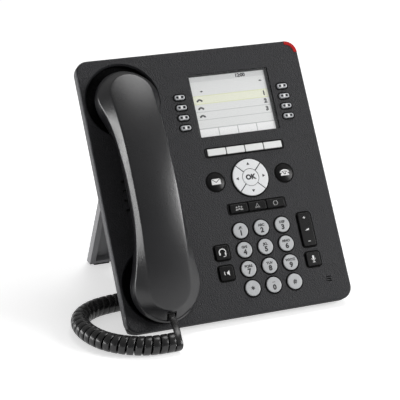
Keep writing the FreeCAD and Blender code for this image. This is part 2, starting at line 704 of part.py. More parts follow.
def dome_spots():
    """Where the mat has a dome: under each key, each arrow and both ends of the rocker."""
    spots = []
    for name, outline, lip_x, lip_y, domed in key_outlines():
        centre = outline(0, 0, 0, 1).BoundBox.Center
        spots.append((centre.x, centre.y))
    ring_r = (ARROW_R + OK_R) / 2
    for dx, dy in ((1, 0), (-1, 0), (0, 1), (0, -1)):
        spots.append((ARROW_X + ring_r * dx, ARROW_Y + ring_r * dy))
    for side in (-1, 1):
        spots.append((SIDE_RIGHT_X, VOLUME_Y + side * (VOLUME_H / 2 - DOME_FOOT_R)))
    return spots


def keypad_mat():
    """A silicone sheet with domes under the keys, open round the display."""
    sheet = block(MAT_LEFT, MAT_RIGHT, MAT_BOTTOM, MAT_TOP_Y, MAT_BOTTOM_Z, MAT_TOP)
    w = DISPLAY_W + 2 * (MODULE_BORDER + KEY_LIP_W)
    h = DISPLAY_H + 2 * (MODULE_BORDER + KEY_LIP_W)
    opening = slab(DISPLAY_X, DISPLAY_Y, w, h, MAT_BOTTOM_Z - 1, MAT_TOP + 1)
    domes = [Part.makeCone(DOME_FOOT_R, DOME_R, DOME_H, Vector(x, y, MAT_TOP)) for x, y in dome_spots()]
    mat = fuse_all([sheet.cut(opening)] + domes)
    holes = [disc(x, y, BOSS_R + BOSS_GAP, MAT_BOTTOM_Z - 1, MAT_TOP + 1) for x, y in SCREW_SPOTS]
    return mat.cut(holes)


def display_lens():
    corner = WINDOW_CORNER_R - WINDOW_GAP
    return display_plate(WINDOW_BORDER_X, WINDOW_BORDER_Y, corner, WINDOW_BACK, -WINDOW_SINK)


def lcd_module():
    """A metal-framed display panel between the window frame and the board."""
    front = FRAME_BACK - SEAT_GAP
    back = BOARD_FRONT + SEAT_GAP
    case = display_plate(MODULE_BORDER, MODULE_BORDER, MODULE_CORNER_R, back, front)
    return case.makeChamfer(MODULE_CHAMFER, edges_at(case, front))


def loudspeaker():
    """A round driver behind the vents: rim, cone basket and magnet, turned about its axis."""
    top = -WALL - SEAT_GAP
    rim_back = top - SPEAKER_RIM_T
    basket_back = top - SPEAKER_BASKET
    back = top - SPEAKER_DEPTH
    points = [(0, rim_back), (SPEAKER_R - SPEAKER_RIM_W, top), (SPEAKER_R, top), (SPEAKER_R, rim_back),
              (SPEAKER_R - SPEAKER_RIM_T / 2, rim_back), (SPEAKER_NECK_R, basket_back),
              (SPEAKER_MAGNET_R, basket_back), (SPEAKER_MAGNET_R, back), (0, back)]
    corners = [Vector(CRADLE_X + r, SPEAKER_Y, z) for r, z in points]
    profile = Part.Face(Part.makePolygon(corners + [corners[0]]))
    return profile.revolve(Vector(CRADLE_X, SPEAKER_Y, 0), Vector(0, 0, 1), 360)


def base_microphone():
    return disc(MIC_X, MIC_Y, MIC_R, -WALL - SEAT_GAP - MIC_T, -WALL - SEAT_GAP)


def message_lamp():
    lamp = lamp_ring(0.0, -RIM_DEPTH, LAMP_RISE)
    rim_length = math.pi / 2 * PANEL_CORNER_R
    rim = [e for e in edges_at(lamp, LAMP_RISE) if abs(e.Length - rim_length) < 1e-3]
    return lamp.makeFillet(PANEL_EDGE_R, rim)


def hook_switch():
    """A plunger in the ear cup, held down by the handset and guided by the cup's floor."""
    top = CUP_FLOOR
    stem = hook_outline(0.0, top - HOOK_LENGTH, top)
    stem = stem.makeFillet(KEY_EDGE_R, edges_at(stem, top))
    lip = hook_outline(KEY_LIP_W, top - HOOK_LENGTH - KEY_LIP_T, top - HOOK_LENGTH)
    return fuse_all([stem, lip])


def stand_plan(length):
    """The stand's outline, hanging down from its hinge line, with an arch for the cables."""
    half = STAND_W / 2
    arch = STAND_ARCH_W / 2
    panel = plate(-half, half, -length, 0, STAND_CORNER_R, 0, 1)
    square_foot = block(-half, half, -length, -length + 2 * STAND_CORNER_R, 0, 1)
    opening = plate(-arch, arch, -2 * length, STAND_ARCH_H - length, STAND_ARCH_R, -1, 2)
    shape = panel.fuse(square_foot).removeSplitter().cut(opening)
    faces = [f for f in shape.Faces if abs(f.CenterOfMass.z) < 1e-6]
    return faces[0]


def stand_in_desk(shape):
    """Turns a shape of the stand's own frame, hinge line at its origin, to its place behind the panel."""
    placed = shape.copy()
    placed.rotate(Vector(0, 0, 0), Vector(1, 0, 0), 90 + STAND_ANGLE)
    placed.translate(desk_point(0, HINGE_Y, HINGE_Z))
    return placed


def stand():
    hinge = desk_point(0, HINGE_Y, HINGE_Z)
    lean = math.radians(STAND_ANGLE)
    length = hinge.z / math.cos(lean) + STAND_T
    plan = stand_plan(length)
    body = plan.extrude(Vector(0, 0, STAND_T))
    body.translate(Vector(0, 0, -STAND_T / 2))
    sunk = plan.makeOffset2D(-STAND_BORDER)
    pocket = sunk.extrude(Vector(0, 0, STAND_T))
    pocket.translate(Vector(0, 0, STAND_WEB - STAND_T / 2))
    above_foot = (hinge.z - STAND_PAD_T - STAND_BORDER) / math.cos(lean)
    keep = block(-STAND_W, STAND_W, -above_foot, -STAND_T, -STAND_T, STAND_T)
    body = body.cut(pocket.common(keep))
    bar_end = STAND_W / 2 - STAND_CORNER_R
    body = fuse_all([body, rod(-bar_end, bar_end, 0, 0, STAND_T / 2)])
    half = KNUCKLE_W / 2 + KNUCKLE_GAP
    clear = HINGE_BEHIND + KNUCKLE_GAP
    for x in (-KNUCKLE_X, KNUCKLE_X):
        body = body.cut(block(x - half, x + half, -clear, STAND_T, -STAND_T, STAND_T))
    body = fuse_all([body, rod(-bar_end, bar_end, 0, 0, HINGE_PIN_R)])
    reach = 2 * PANEL_H
    return stand_in_desk(body).common(block(-reach, reach, -reach, reach, STAND_PAD_T, reach))


def stand_foot_pads():
    """A rubber pad under each leg of the stand, in the desk frame."""
    hinge = desk_point(0, HINGE_Y, HINGE_Z)
    lean = math.radians(STAND_ANGLE)
    y = hinge.y + (hinge.z - STAND_PAD_T) * math.tan(lean)
    depth = STAND_T / math.cos(lean) - 2 * STAND_PAD_INSET
    leg = (STAND_W + STAND_ARCH_W) / 4
    pads = []
    for x in (-leg, leg):
        pads.append(bar_outline(x, y, STAND_PAD_W, depth, STAND_PAD_CORNER_R)(0, 0, 0, STAND_PAD_T))
    return Part.makeCompound(pads)


def bone_side(waist, waist_y, cap_r, cap_y):
    """Where an arc leaves the waist's straight side and where it meets the round end, tangent to both."""
    reach = cap_y - waist_y
    radius = (waist ** 2 + reach ** 2 - cap_r ** 2) / (2 * (waist - cap_r))
    centre = Vector(waist - radius, waist_y, 0)
    along = (Vector(0, cap_y, 0) - centre).normalize() * math.copysign(1, radius)
    meet = Vector(0, cap_y, 0) + along * cap_r
    start = Vector(waist, waist_y, 0)
    half_way = ((start - centre).normalize() + (meet - centre).normalize()).normalize()
    return start, centre + half_way * abs(radius), meet


def bone_wire(z, ear_r, ear_y, mouth_r, mouth_y, waist, inset=0.0):
    """The handset's outline at one height: two round ends joined by a narrower grip."""
    ear = bone_side(waist - inset, WAIST_EAR_Y, ear_r - inset, ear_y)
    mouth = bone_side(waist - inset, WAIST_MOUTH_Y, mouth_r - inset, mouth_y)

    def at(p, side):
        return Vector(CRADLE_X + side * p.x, p.y, z)

    ear_tip = Vector(CRADLE_X, ear_y + ear_r - inset, z)
    mouth_tip = Vector(CRADLE_X, mouth_y - mouth_r + inset, z)
    edges = [line(at(mouth[0], 1), at(ear[0], 1)),
             arc(at(ear[0], 1), at(ear[1], 1), at(ear[2], 1)),
             arc(at(ear[2], 1), ear_tip, at(ear[2], -1)),
             arc(at(ear[2], -1), at(ear[1], -1), at(ear[0], -1)),
             line(at(ear[0], -1), at(mouth[0], -1)),
             arc(at(mouth[0], -1), at(mouth[1], -1), at(mouth[2], -1)),
             arc(at(mouth[2], -1), mouth_tip, at(mouth[2], 1)),
             arc(at(mouth[2], 1), at(mouth[1], 1), at(mouth[0], 1))]
    return Part.Wire(edges)


def crowned_arch(sink):
    """Everything under the handset's arched and slightly crowned outer face."""
    side = 2 * EAR_R
    top = ARCH_TOP - sink
    drop = ARCH_CROWN_R - math.sqrt(ARCH_CROWN_R ** 2 - side ** 2)
    right = Vector(CRADLE_X + side, ARCH_Y, top - drop)
    left = Vector(CRADLE_X - side, ARCH_Y, top - drop)
    low_right = Vector(right.x, ARCH_Y, -ARCH_TOP)
    low_left = Vector(left.x, ARCH_Y, -ARCH_TOP)
    crown = arc(right, Vector(CRADLE_X, ARCH_Y, top), left)
    edges = [crown, line(left, low_left), line(low_left, low_right), line(low_right, right)]
    profile = Part.Face(Part.Wire(edges))
    axis = Vector(CRADLE_X, ARCH_Y, ARCH_TOP - ARCH_R)
    profile.rotate(axis, Vector(1, 0, 0), -ARCH_SWING)
    return profile.revolve(axis, Vector(1, 0, 0), 2 * ARCH_SWING)


def under_parting():
    """Everything under the arched line where the handset's two shells meet."""
    return rod(CRADLE_X - 2 * MOUTH_R, CRADLE_X + 2 * MOUTH_R, ARCH_Y, PARTING_TOP - PARTING_R, PARTING_R)


def plug_pocket():
    """The jack in the handset's lower end, round its plug."""
    half_w = PLUG_W / 2 + PLUG_GAP
    half_h = PLUG_H / 2 + PLUG_GAP
    depth = HANDSET_PLUG_Y + PLUG_LENGTH + PLUG_GAP
    return block(CRADLE_X - half_w, CRADLE_X + half_w, -PANEL_CORNER_R, depth,
                 HANDSET_PLUG_Z - half_h, HANDSET_PLUG_Z + half_h)


def flank_wires(inset):
    """The outlines up the flank, which runs unbroken over both shells and is widest at the grip's edge."""
    whole = FLANK_LEVELS[-1][0]
    wires = []
    for rise, waist_more, ear_less, mouth_less in FLANK_LEVELS:
        ear_y = EAR_Y - TOP_EAR_BACK * rise / whole
        mouth_y = MOUTH_Y + TOP_MOUTH_ON * rise / whole
        wires.append(bone_wire(FLANK_LOW + rise, EAR_R - ear_less, ear_y, MOUTH_R - mouth_less, mouth_y,
                               WAIST + waist_more, inset))
    return wires


def outer_form(inset):
    return Part.makeLoft(flank_wires(inset), True, True).common(crowned_arch(inset))


def handset_outer_shell():
    shell = outer_form(0.0).cut(outer_form(SHELL_WALL)).cut(under_parting())
    return shell.cut(plug_pocket())


def grip_space(rise):
    """The room for fingers under the grip, between the two cups."""
    low = CUP_FACE - 2 * SHELL_WALL
    x = CRADLE_X - 2 * MOUTH_R
    shoulder = GRIP_SHOULDER + rise
    a = Vector(x, MOUTH_Y + FACE_MOUTH_R - rise, CUP_FACE)
    b = Vector(x, GRIP_MOUTH_Y, shoulder)
    c = Vector(x, ARCH_Y, GRIP_UNDER + rise)
    d = Vector(x, GRIP_EAR_Y, shoulder)
    e = Vector(x, EAR_Y - FACE_EAR_R + rise, CUP_FACE)
    ab = Vector(x, b.y + (a.y - b.y) * GRIP_BULGE, a.z + (b.z - a.z) * GRIP_BULGE)
    de = Vector(x, d.y + (e.y - d.y) * GRIP_BULGE, e.z + (d.z - e.z) * GRIP_BULGE)
    foot = [Vector(x, e.y, low), Vector(x, a.y, low)]
    edges = [arc(a, ab, b), arc(b, c, d), arc(d, de, e), line(e, foot[0]), line(*foot), line(foot[1], a)]
    return Part.Face(Part.Wire(edges)).extrude(Vector(4 * MOUTH_R, 0, 0))


def inner_form(inset):
    face = bone_wire(CUP_FACE + inset, FACE_EAR_R, EAR_Y, FACE_MOUTH_R, MOUTH_Y, FACE_WAIST, inset)
    shoulder = bone_wire(TAPER_TOP, EAR_R, EAR_Y, MOUTH_R, MOUTH_Y, WAIST, inset)
    return Part.makeLoft([face, shoulder, *flank_wires(inset)], True, True)


def handset_inner_shell():
    body = inner_form(0.0).cut(grip_space(0.0))
    hollow = inner_form(SHELL_WALL).cut(grip_space(SHELL_WALL))
    shell = body.cut(hollow).common(under_parting())
    cuts = [plug_pocket()]
    low = CUP_FACE - 1
    high = CUP_FACE + SHELL_WALL + 1
    for i in range(EAR_HOLE_COUNT):
        angle = 2 * math.pi * i / EAR_HOLE_COUNT
        x = CRADLE_X + EAR_HOLE_RING * math.cos(angle)
        y = EAR_Y + EAR_HOLE_RING * math.sin(angle)
        cuts.append(disc(x, y, EAR_HOLE_R, low, high))
    for i in (-1, 0, 1):
        y = MOUTH_Y + i * MOUTH_SLOT_PITCH
        cuts.append(pill_outline(CRADLE_X, y, MOUTH_SLOT_W, MOUTH_SLOT_H)(0, 0, low, high))
    return shell.cut(cuts)


def earpiece():
    low = CUP_FACE + SHELL_WALL + SEAT_GAP
    return disc(CRADLE_X, EAR_Y, EARPIECE_R, low, low + EARPIECE_T)


def handset_microphone():
    low = CUP_FACE + SHELL_WALL + SEAT_GAP
    return disc(CRADLE_X, MOUTH_Y, CAPSULE_R, low, low + CAPSULE_T)


def cord_plug():
    """A modular plug, lying along x with its cord end at the origin, and its latch."""
    latch_z = PLUG_H / 2 - PLUG_LATCH_T
    body = block(0, PLUG_LENGTH, -PLUG_W / 2, PLUG_W / 2, -PLUG_H / 2, latch_z)
    nose = [e for e in body.Edges if e.BoundBox.XMin > PLUG_LENGTH - PLUG_NOSE]
    latch = block(PLUG_LATCH_START, PLUG_LENGTH - 1, -PLUG_W / 4, PLUG_W / 4, latch_z, PLUG_H / 2)
    return fuse_all([body.makeChamfer(PLUG_NOSE, nose), latch])


def cord_plug_handset():
    plug = cord_plug()
    plug.rotate(Vector(0, 0, 0), Vector(0, 0, 1), 90)
    plug.translate(Vector(CRADLE_X, HANDSET_PLUG_Y, HANDSET_PLUG_Z))
    return plug


def cord_plug_base():
    plug = cord_plug()
    plug.rotate(Vector(0, 0, 0), Vector(1, 0, 0), 180)
    plug.translate(Vector(BAY_RIGHT + PLUG_DEPTH - PLUG_LENGTH, PLUG_SOCKET_Y, SOCKETS_Z))
    return plug


def curl_point(path, s):
    """A point of the curls: s is the distance along the line that they follow."""
    at = path.getParameterByLength(s)
    along = path.tangentAt(at).normalize()
    side = Vector(0, 0, 1).cross(along).normalize()
    angle = -2 * math.pi * (s - COIL_START) / CURL_PITCH
    return path.valueAt(at) + side * (CURL_R * math.cos(angle)) + Vector(0, 0, CURL_R * math.sin(angle))


def cord_points():
    """Points of the wire from the handset's plug to the base's plug, with the direction at each."""
    axis_z = CURL_R + WIRE_D / 2 + DESK_GAP
    spline = Part.BSplineCurve()
    spline.buildFromPoles([Vector(x, y, axis_z) for x, y in COIL_LINE], False, 2)
    path = spline.toShape()
    start = desk_point(CRADLE_X, HANDSET_PLUG_Y, HANDSET_PLUG_Z)
    down = Vector(0, -LEAN_SIN, -LEAN_COS)
    finish = desk_point(BAY_RIGHT + PLUG_DEPTH - PLUG_LENGTH, PLUG_SOCKET_Y, SOCKETS_Z)
    points = [start, start + down * WIRE_D] + [Vector(*p) for p in HANDSET_LEAD]
    turns = math.floor((path.Length - COIL_START) / CURL_PITCH - 0.5) + 0.5
    first_curl = len(points)
    step = CURL_PITCH / CURL_POINTS
    stations = [COIL_START + step * i for i in range(int(turns * CURL_POINTS) + 1)]
    points += [curl_point(path, s) for s in stations]
    last_curl = len(points) - 1
    points += [Vector(*p) for p in BASE_LEAD]
    points += [finish - Vector(back * WIRE_D, 0, 0) for back in (2, 1, 0)]
    directions = []
    nudge = 0.01
    for i, p in enumerate(points):
        if first_curl <= i <= last_curl:
            s = stations[i - first_curl]
            ahead = curl_point(path, s + nudge)
            behind = curl_point(path, s - nudge)
            directions.append((ahead - behind).normalize())
        elif i < 2:
            directions.append(down)
        elif i >= len(points) - 3:
            directions.append(Vector(1, 0, 0))
        else:
            directions.append((points[i + 1] - points[i - 1]).normalize())
    return points, directions


def bend(a, direction, b):
    """A straight or round edge from a to b that leaves a along a direction."""
    chord = b - a
    square = direction - chord * (direction.dot(chord) / chord.dot(chord))
    if square.Length < 1e-4:
        return line(a, b)
    turn = math.acos(max(-1.0, min(1.0, direction.dot(chord) / chord.Length)))
    middle = (a + b) * 0.5 + square.normalize() * (chord.Length / 2 * math.tan(turn / 2))
    return arc(a, middle, b)


def two_bends(a, da, b, db):
    """Two arcs from a to b, tangent to each other and to the directions at both ends."""
    v = b - a
    along = v.dot(da + db)
    spread = 2 * (1 - da.dot(db))
    if spread < 1e-9:
        d = v.dot(v) / (4 * v.dot(db))
    else:
        d = (math.sqrt(along ** 2 + spread * v.dot(v)) - along) / spread
    meet = (a + b + (da - db) * d) * 0.5
    return [bend(a, da, meet), bend(b, db * -1, meet)]


def handset_cord():
    points, directions = cord_points()
    edges = []
    for i in range(len(points) - 1):
        edges += two_bends(points[i], directions[i], points[i + 1], directions[i + 1])
    wire = Part.Wire(Part.__sortEdges__(edges))
    section = Part.Wire(Part.makeCircle(WIRE_D / 2, points[0], directions[0]))
    cord = wire.makePipeShell([section], True, False)
    tightest = min(e.Curve.Radius for e in edges if hasattr(e.Curve, "Radius"))
    swept = math.pi * WIRE_D ** 2 / 4 * wire.Length
    print(f"cord length {wire.Length:.0f}, tightest bend {tightest:.2f}, fullness {cord.Volume / swept:.4f}")
    print(f"least gap between curls {least_gap(wire):.2f}")
    return cord


def least_gap(wire):
    """The least clear space between two stretches of the wire that are over half a curl apart."""
    spacing = 2 * math.pi * CURL_R / COIL_SAMPLES
    points = wire.discretize(Distance=spacing)
    skip = COIL_SAMPLES // 2
    least = 1e9
    for i, p in enumerate(points):
        for q in points[i + skip:i + 4 * COIL_SAMPLES]:
            least = min(least, (p - q).Length)
    return least - WIRE_D


def model():
    """All pieces in the desk frame, by name."""
    pieces = {}
    for name, outline, lip_x, lip_y, domed in key_outlines():
        pieces[name] = key_solid(outline, lip_x, lip_y, domed)
    pieces.update(arrow_keys())
    makers = [volume_rocker, front_housing, rear_cover, cover_screws, display_lens, lcd_module, main_board,
              keypad_mat, message_lamp, loudspeaker, base_microphone, hook_switch, board_jacks,
              handset_outer_shell, handset_inner_shell, earpiece, handset_microphone,
              cord_plug_handset, cord_plug_base]
    for maker in makers:
        pieces[maker.__name__] = maker()
    pieces = {name: to_desk(shape) for name, shape in pieces.items()}
    for maker in (rubber_feet, stand, stand_foot_pads, handset_cord):
        pieces[maker.__name__] = maker()
    return pieces


def main():
    """Writes each piece with the origin under the middle of the phone, on the desk."""
    pieces = model()
    cords = ("handset_cord", "cord_plug_handset", "cord_plug_base")
    whole = Part.makeCompound([shape for name, shape in pieces.items() if name not in cords])
    middle = whole.optimalBoundingBox(False).Center
    os.makedirs("parts", exist_ok=True)
    for name, shape in pieces.items():
        shape.translate(Vector(-middle.x, -middle.y, 0))
        shape.exportStep(f"parts/{name}.step")
    print(f"{len(pieces)} pieces, shifted by {-middle.x:.3f}, {-middle.y:.3f}")


main()
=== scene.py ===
import math

import bmesh
import bpy
from mathutils import Matrix, Vector


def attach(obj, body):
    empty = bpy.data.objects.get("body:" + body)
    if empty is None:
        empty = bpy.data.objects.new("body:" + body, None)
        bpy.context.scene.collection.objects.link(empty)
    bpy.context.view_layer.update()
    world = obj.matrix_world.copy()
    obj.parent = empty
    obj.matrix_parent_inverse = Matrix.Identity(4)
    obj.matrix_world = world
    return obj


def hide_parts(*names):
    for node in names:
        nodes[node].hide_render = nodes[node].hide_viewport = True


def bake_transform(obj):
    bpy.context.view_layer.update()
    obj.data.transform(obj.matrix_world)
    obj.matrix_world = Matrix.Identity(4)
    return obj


# The frame: every CAD part of the phone, packed in metres with the desk at zero height.
# +X is the user's right, +Y is away from the user and +Z is up.
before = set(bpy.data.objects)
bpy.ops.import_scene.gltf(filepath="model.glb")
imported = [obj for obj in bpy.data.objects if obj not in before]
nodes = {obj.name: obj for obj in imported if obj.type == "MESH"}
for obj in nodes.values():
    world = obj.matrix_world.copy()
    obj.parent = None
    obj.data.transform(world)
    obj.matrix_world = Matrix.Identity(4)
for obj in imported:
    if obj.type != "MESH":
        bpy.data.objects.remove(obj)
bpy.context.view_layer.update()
scene = bpy.context.scene
scene.view_settings.view_transform = "Standard"

# The camera: a long lens in front of the phone, to its left and above it,
# placed by the corners of the panel, the keys and the display.
camera_lens = bpy.data.cameras.new("camera")
camera_lens.sensor_width = 36.0
camera_lens.lens = 130.2
camera_lens.clip_end = 50.0
camera = bpy.data.objects.new("camera", camera_lens)
camera.location = (-0.4257, -1.0655, 0.5220)
camera.rotation_euler = Vector((0.3408, 0.8687, -0.3595)).to_track_quat("-Z", "Y").to_euler()
scene.collection.objects.link(camera)
scene.camera = camera

# The studio: a white table top that keeps the phone's soft shadow, in grey surroundings,
# with a soft lamp overhead, one on the right and a low strip behind on the left.
TABLE_HALF = 6.0
TABLE_WHITE = (0.82, 0.82, 0.82, 1)
TABLE_FILL = 0.55
SURROUNDINGS = 0.3
LAMPS_AIM = Vector((0, 0, 0.1))


def feed(tree, node, inputs):
    """Sets a node's inputs to values, or links them to outputs of other nodes."""
    for socket, value in inputs.items():
        if isinstance(value, bpy.types.NodeSocket):
            tree.links.new(value, node.inputs[socket])
        else:
            node.inputs[socket].default_value = value


def add_node(tree, kind, inputs=None, **settings):
    """A new node with its settings and its inputs."""
    made = tree.nodes.new(kind)
    for name, value in settings.items():
        setattr(made, name, value)
    feed(tree, made, inputs or {})
    return made


def calc(tree, operation, *values):
    """One number from others."""
    return add_node(tree, "ShaderNodeMath", dict(enumerate(values)), operation=operation).outputs[0]


table_mesh = bpy.data.meshes.new("table_top")
table_corners = [(x * TABLE_HALF, y * TABLE_HALF, 0) for x, y in ((-1, -1), (1, -1), (1, 1), (-1, 1))]
table_mesh.from_pydata(table_corners, [], [(0, 1, 2, 3)])
table_top = bpy.data.objects.new("table_top", table_mesh)
scene.collection.objects.link(table_top)
table_white = bpy.data.materials.new("table_white")
table_white.use_nodes = True
paint = table_white.node_tree
paint.nodes.clear()
rays = add_node(paint, "ShaderNodeLightPath").outputs
mirrored = calc(paint, "MAXIMUM", rays["Is Glossy Ray"], rays["Is Transmission Ray"])
shown = calc(paint, "MAXIMUM", rays["Is Camera Ray"], mirrored)
glow = add_node(paint, "ShaderNodeEmission", {"Strength": calc(paint, "MULTIPLY", shown, TABLE_FILL)})
paper = add_node(paint, "ShaderNodeBsdfDiffuse", {"Color": TABLE_WHITE})
both = add_node(paint, "ShaderNodeAddShader", {0: paper.outputs[0], 1: glow.outputs[0]})
add_node(paint, "ShaderNodeOutputMaterial", {"Surface": both.outputs[0]})
table_mesh.materials.append(table_white)

world = bpy.data.worlds.new("studio")
scene.world = world
world.use_nodes = True
feed(world.node_tree, world.node_tree.nodes["Background"], {"Color": (1, 1, 1, 1), "Strength": SURROUNDINGS})


def softbox(name, place, width, height, watts):
    """A rectangular lamp that faces the phone."""
    lamp = bpy.data.lights.new(name, "AREA")
    lamp.shape = "RECTANGLE"
    lamp.size = width
    lamp.size_y = height
    lamp.energy = watts
    holder = bpy.data.objects.new(name, lamp)
    holder.location = place
    holder.rotation_euler = (LAMPS_AIM - Vector(place)).to_track_quat("-Z", "Y").to_euler()
    scene.collection.objects.link(holder)


softbox("overhead_softbox", (0.5, 0.32, 1.5), 0.8, 0.8, 8)
softbox("right_softbox", (1.12, -0.87, 0.72), 0.55, 0.65, 15)
softbox("left_softbox", (-1.2, 0.31, 0.1), 1.5, 0.2, 7.5)

# Front housing: the leaning front panel with the handset's cradle, one injection moulding
# in charcoal plastic with a fine spark-eroded grain. Screws from the rear hold it to the cover.
MM = 0.001
LEAN = math.radians(34.1)
DESK_SHIFT = -80.138
PANEL_LIFT = 7.0
PIT_SHARE = 0.6
CLOUD_SHARE = 0.55
BLOTCH_SHARE = 0.45
BLOTCH_SCALE = 38.0
SPECK_SCALE = 420.0
DUST_SLOPE = 0.45
DUST = (0.5, 0.48, 0.45, 1)
BUMP = 0.5
MASK_LOW = 0.3
MASK_HIGH = 0.7
# Painted shade in recesses, down to this share of the colour, and a painted highlight along the panel's outer
# sides.
RECESS_SHADE = 0.12
RIM_W = 1.6
RIM_PAINTED_HIGHLIGHT = 2.4
panel_up = Vector((0, math.sin(LEAN), math.cos(LEAN)))
panel_out = Vector((0, -math.cos(LEAN), math.sin(LEAN)))
panel_place = Matrix.Translation((0, DESK_SHIFT * MM, PANEL_LIFT * MM)) @ Matrix((
    (MM, 0, 0, 0),
    (0, MM * panel_up.y, MM * panel_out.y, 0),
    (0, MM * panel_up.z, MM * panel_out.z, 0),
    (0, 0, 0, 1),
))
panel_back = panel_place.inverted()


def panel_box(node):
    """The lowest and the highest corner of a CAD part, in millimetres on the panel."""
    found = [panel_back @ v.co for v in nodes[node].data.vertices]
    low = Vector([min(p[i] for p in found) for i in range(3)])
    high = Vector([max(p[i] for p in found) for i in range(3)])
    return low, high


def shader_group(name, taken, given):
    """An empty shader node group that takes one number and gives some."""
    group = bpy.data.node_groups.new(name, "ShaderNodeTree")
    group.interface.new_socket(taken, in_out="INPUT", socket_type="NodeSocketFloat")
    for number in given:
        group.interface.new_socket(number, in_out="OUTPUT", socket_type="NodeSocketFloat")
    place = add_node(group, "ShaderNodeTexCoord").outputs["Object"]
    return group, group.nodes.new("NodeGroupInput").outputs[taken], place


def grain_group():
    """Spark-eroded mould grain: pits for the bump, and a mask that varies colour and gloss a little."""
    group, scale, place = shader_group("moulded_grain", "Scale", ("Height", "Mask"))
    pits = add_node(group, "ShaderNodeTexVoronoi", {"Vector": place, "Scale": scale, "Randomness": 1.0})
    noise = add_node(group, "ShaderNodeTexNoise", {"Vector": place, "Scale": scale, "Detail": 3.0})
    blotch = add_node(group, "ShaderNodeTexNoise", {"Vector": place, "Scale": BLOTCH_SCALE, "Detail": 2.0})
    cloud = noise.outputs["Fac"]
    blotches = calc(group, "MULTIPLY", blotch.outputs["Fac"], BLOTCH_SHARE)
    add_node(group, "NodeGroupOutput", {
        "Height": calc(group, "MULTIPLY_ADD", pits.outputs["Distance"], PIT_SHARE, cloud),
        "Mask": calc(group, "MULTIPLY_ADD", cloud, CLOUD_SHARE, blotches)})
    return group


def dust_group():
    """A trace of dust that settles on what faces up."""
    group, amount, place = shader_group("settled_dust", "Amount", ("Mask",))
    facing = add_node(group, "ShaderNodeNewGeometry").outputs["Normal"]
    upward = add_node(group, "ShaderNodeSeparateXYZ", {0: facing}).outputs["Z"]
    level = add_node(group, "ShaderNodeMapRange", {"Value": upward, "From Min": DUST_SLOPE, "From Max": 1.0})
    specks = add_node(group, "ShaderNodeTexNoise", {"Vector": place, "Scale": SPECK_SCALE, "Detail": 5.0})
    settled = calc(group, "MULTIPLY", specks.outputs["Fac"], level.outputs["Result"])
    add_node(group, "NodeGroupOutput", {"Mask": calc(group, "MULTIPLY", settled, amount)})
    return group


moulded_grain = grain_group()
settled_dust = dust_group()


def moulded(name, dark, light, gloss, grain, depth, dust=0.05, specular=0.5, metallic=0.0):
    """A moulded, painted or plated finish: two tones, a range of roughness, and grain of a size and depth."""
    finish = bpy.data.materials.new(name)
    finish.use_nodes = True
    tree = finish.node_tree
    texture = add_node(tree, "ShaderNodeGroup", {"Scale": grain}, node_tree=moulded_grain)
    specks = add_node(tree, "ShaderNodeGroup", {"Amount": dust}, node_tree=settled_dust)
    mask = texture.outputs["Mask"]
    tones = {"Factor": mask, "A": (*dark, 1), "B": (*light, 1)}
    tone = add_node(tree, "ShaderNodeMix", tones, data_type="RGBA").outputs["Result"]
    dusting = {"Factor": specks.outputs["Mask"], "A": tone, "B": DUST}
    dusty = add_node(tree, "ShaderNodeMix", dusting, data_type="RGBA")
    rough = add_node(tree, "ShaderNodeMapRange", {
        "Value": mask, "From Min": MASK_LOW, "From Max": MASK_HIGH, "To Min": gloss[0], "To Max": gloss[1]})
    bump = add_node(tree, "ShaderNodeBump", {
        "Height": texture.outputs["Height"], "Strength": BUMP, "Distance": depth})
    feed(tree, tree.nodes["Principled BSDF"], {
        "Base Color": dusty.outputs["Result"], "Roughness": rough.outputs["Result"],
        "Normal": bump.outputs["Normal"], "Specular IOR Level": specular, "Metallic": metallic})
    return finish


def dress(node, finish):
    """Gives a CAD part its finish."""
    mesh = nodes[node].data
    mesh.materials.clear()
    mesh.materials.append(finish)


def paint_recess_shade_and_rim_highlight(finish, shine, dark_z, lit_z):
    """Paints shade into what lies below a height on the panel, darker and duller, but not on the panel's
    outer sides, which get a painted highlight.
    """
    tree = finish.node_tree
    shader = tree.nodes["Principled BSDF"]
    place = add_node(tree, "ShaderNodeTexCoord").outputs["Object"]
    height = add_node(tree, "ShaderNodeVectorMath", {0: place, 1: panel_out}, operation="DOT_PRODUCT")
    face_height = panel_place.translation.dot(panel_out)
    # Painted shade: colour and gloss fall off below the given heights.
    level = add_node(tree, "ShaderNodeMapRange", {
        "Value": height.outputs["Value"], "From Min": face_height + dark_z * MM,
        "From Max": face_height + lit_z * MM, "To Min": RECESS_SHADE})
    low, high = panel_box("front_housing")
    half_w = (high.x - low.x) / 2
    across = add_node(tree, "ShaderNodeSeparateXYZ", {0: place}).outputs["X"]
    beside = calc(tree, "ABSOLUTE", calc(tree, "SUBTRACT", across, (low.x + high.x) / 2 * MM))
    # Painted highlight: colour and gloss grow brighter towards the panel's left and right outer sides.
    rim = add_node(tree, "ShaderNodeMapRange", {
        "Value": beside, "From Min": (half_w - RIM_W) * MM,
        "From Max": (half_w - RIM_W / 2) * MM, "To Max": RIM_PAINTED_HIGHLIGHT})
    lit = calc(tree, "MAXIMUM", level.outputs["Result"], rim.outputs["Result"])
    colour = shader.inputs["Base Color"].links[0].from_socket
    dimmed = add_node(tree, "ShaderNodeVectorMath", {0: colour, "Scale": lit}, operation="SCALE")
    feed(tree, shader, {"Base Color": dimmed.outputs["Vector"],
                        "Specular IOR Level": calc(tree, "MULTIPLY", lit, shine)})


charcoal = moulded("charcoal_grain", (0.003, 0.003, 0.0036), (0.023, 0.0232, 0.028),
                   (0.42, 0.6), 1000, 0.0011)
# Painted shade in the cradle's cups and other recesses of the panel, and a painted highlight along its outer
# sides.
paint_recess_shade_and_rim_highlight(charcoal, 0.35, -2.5, -0.4)
dress("front_housing", charcoal)

# Rear cover: the shallow tub behind the panel, moulded in matt black with a coarser grain,
# with a bay for the sockets, and two lugs for the stand.
cover_black = moulded("cover_black", (0.012, 0.012, 0.013), (0.026, 0.026, 0.028),
                      (0.5, 0.68), 900, 0.00008)
dress("rear_cover", cover_black)

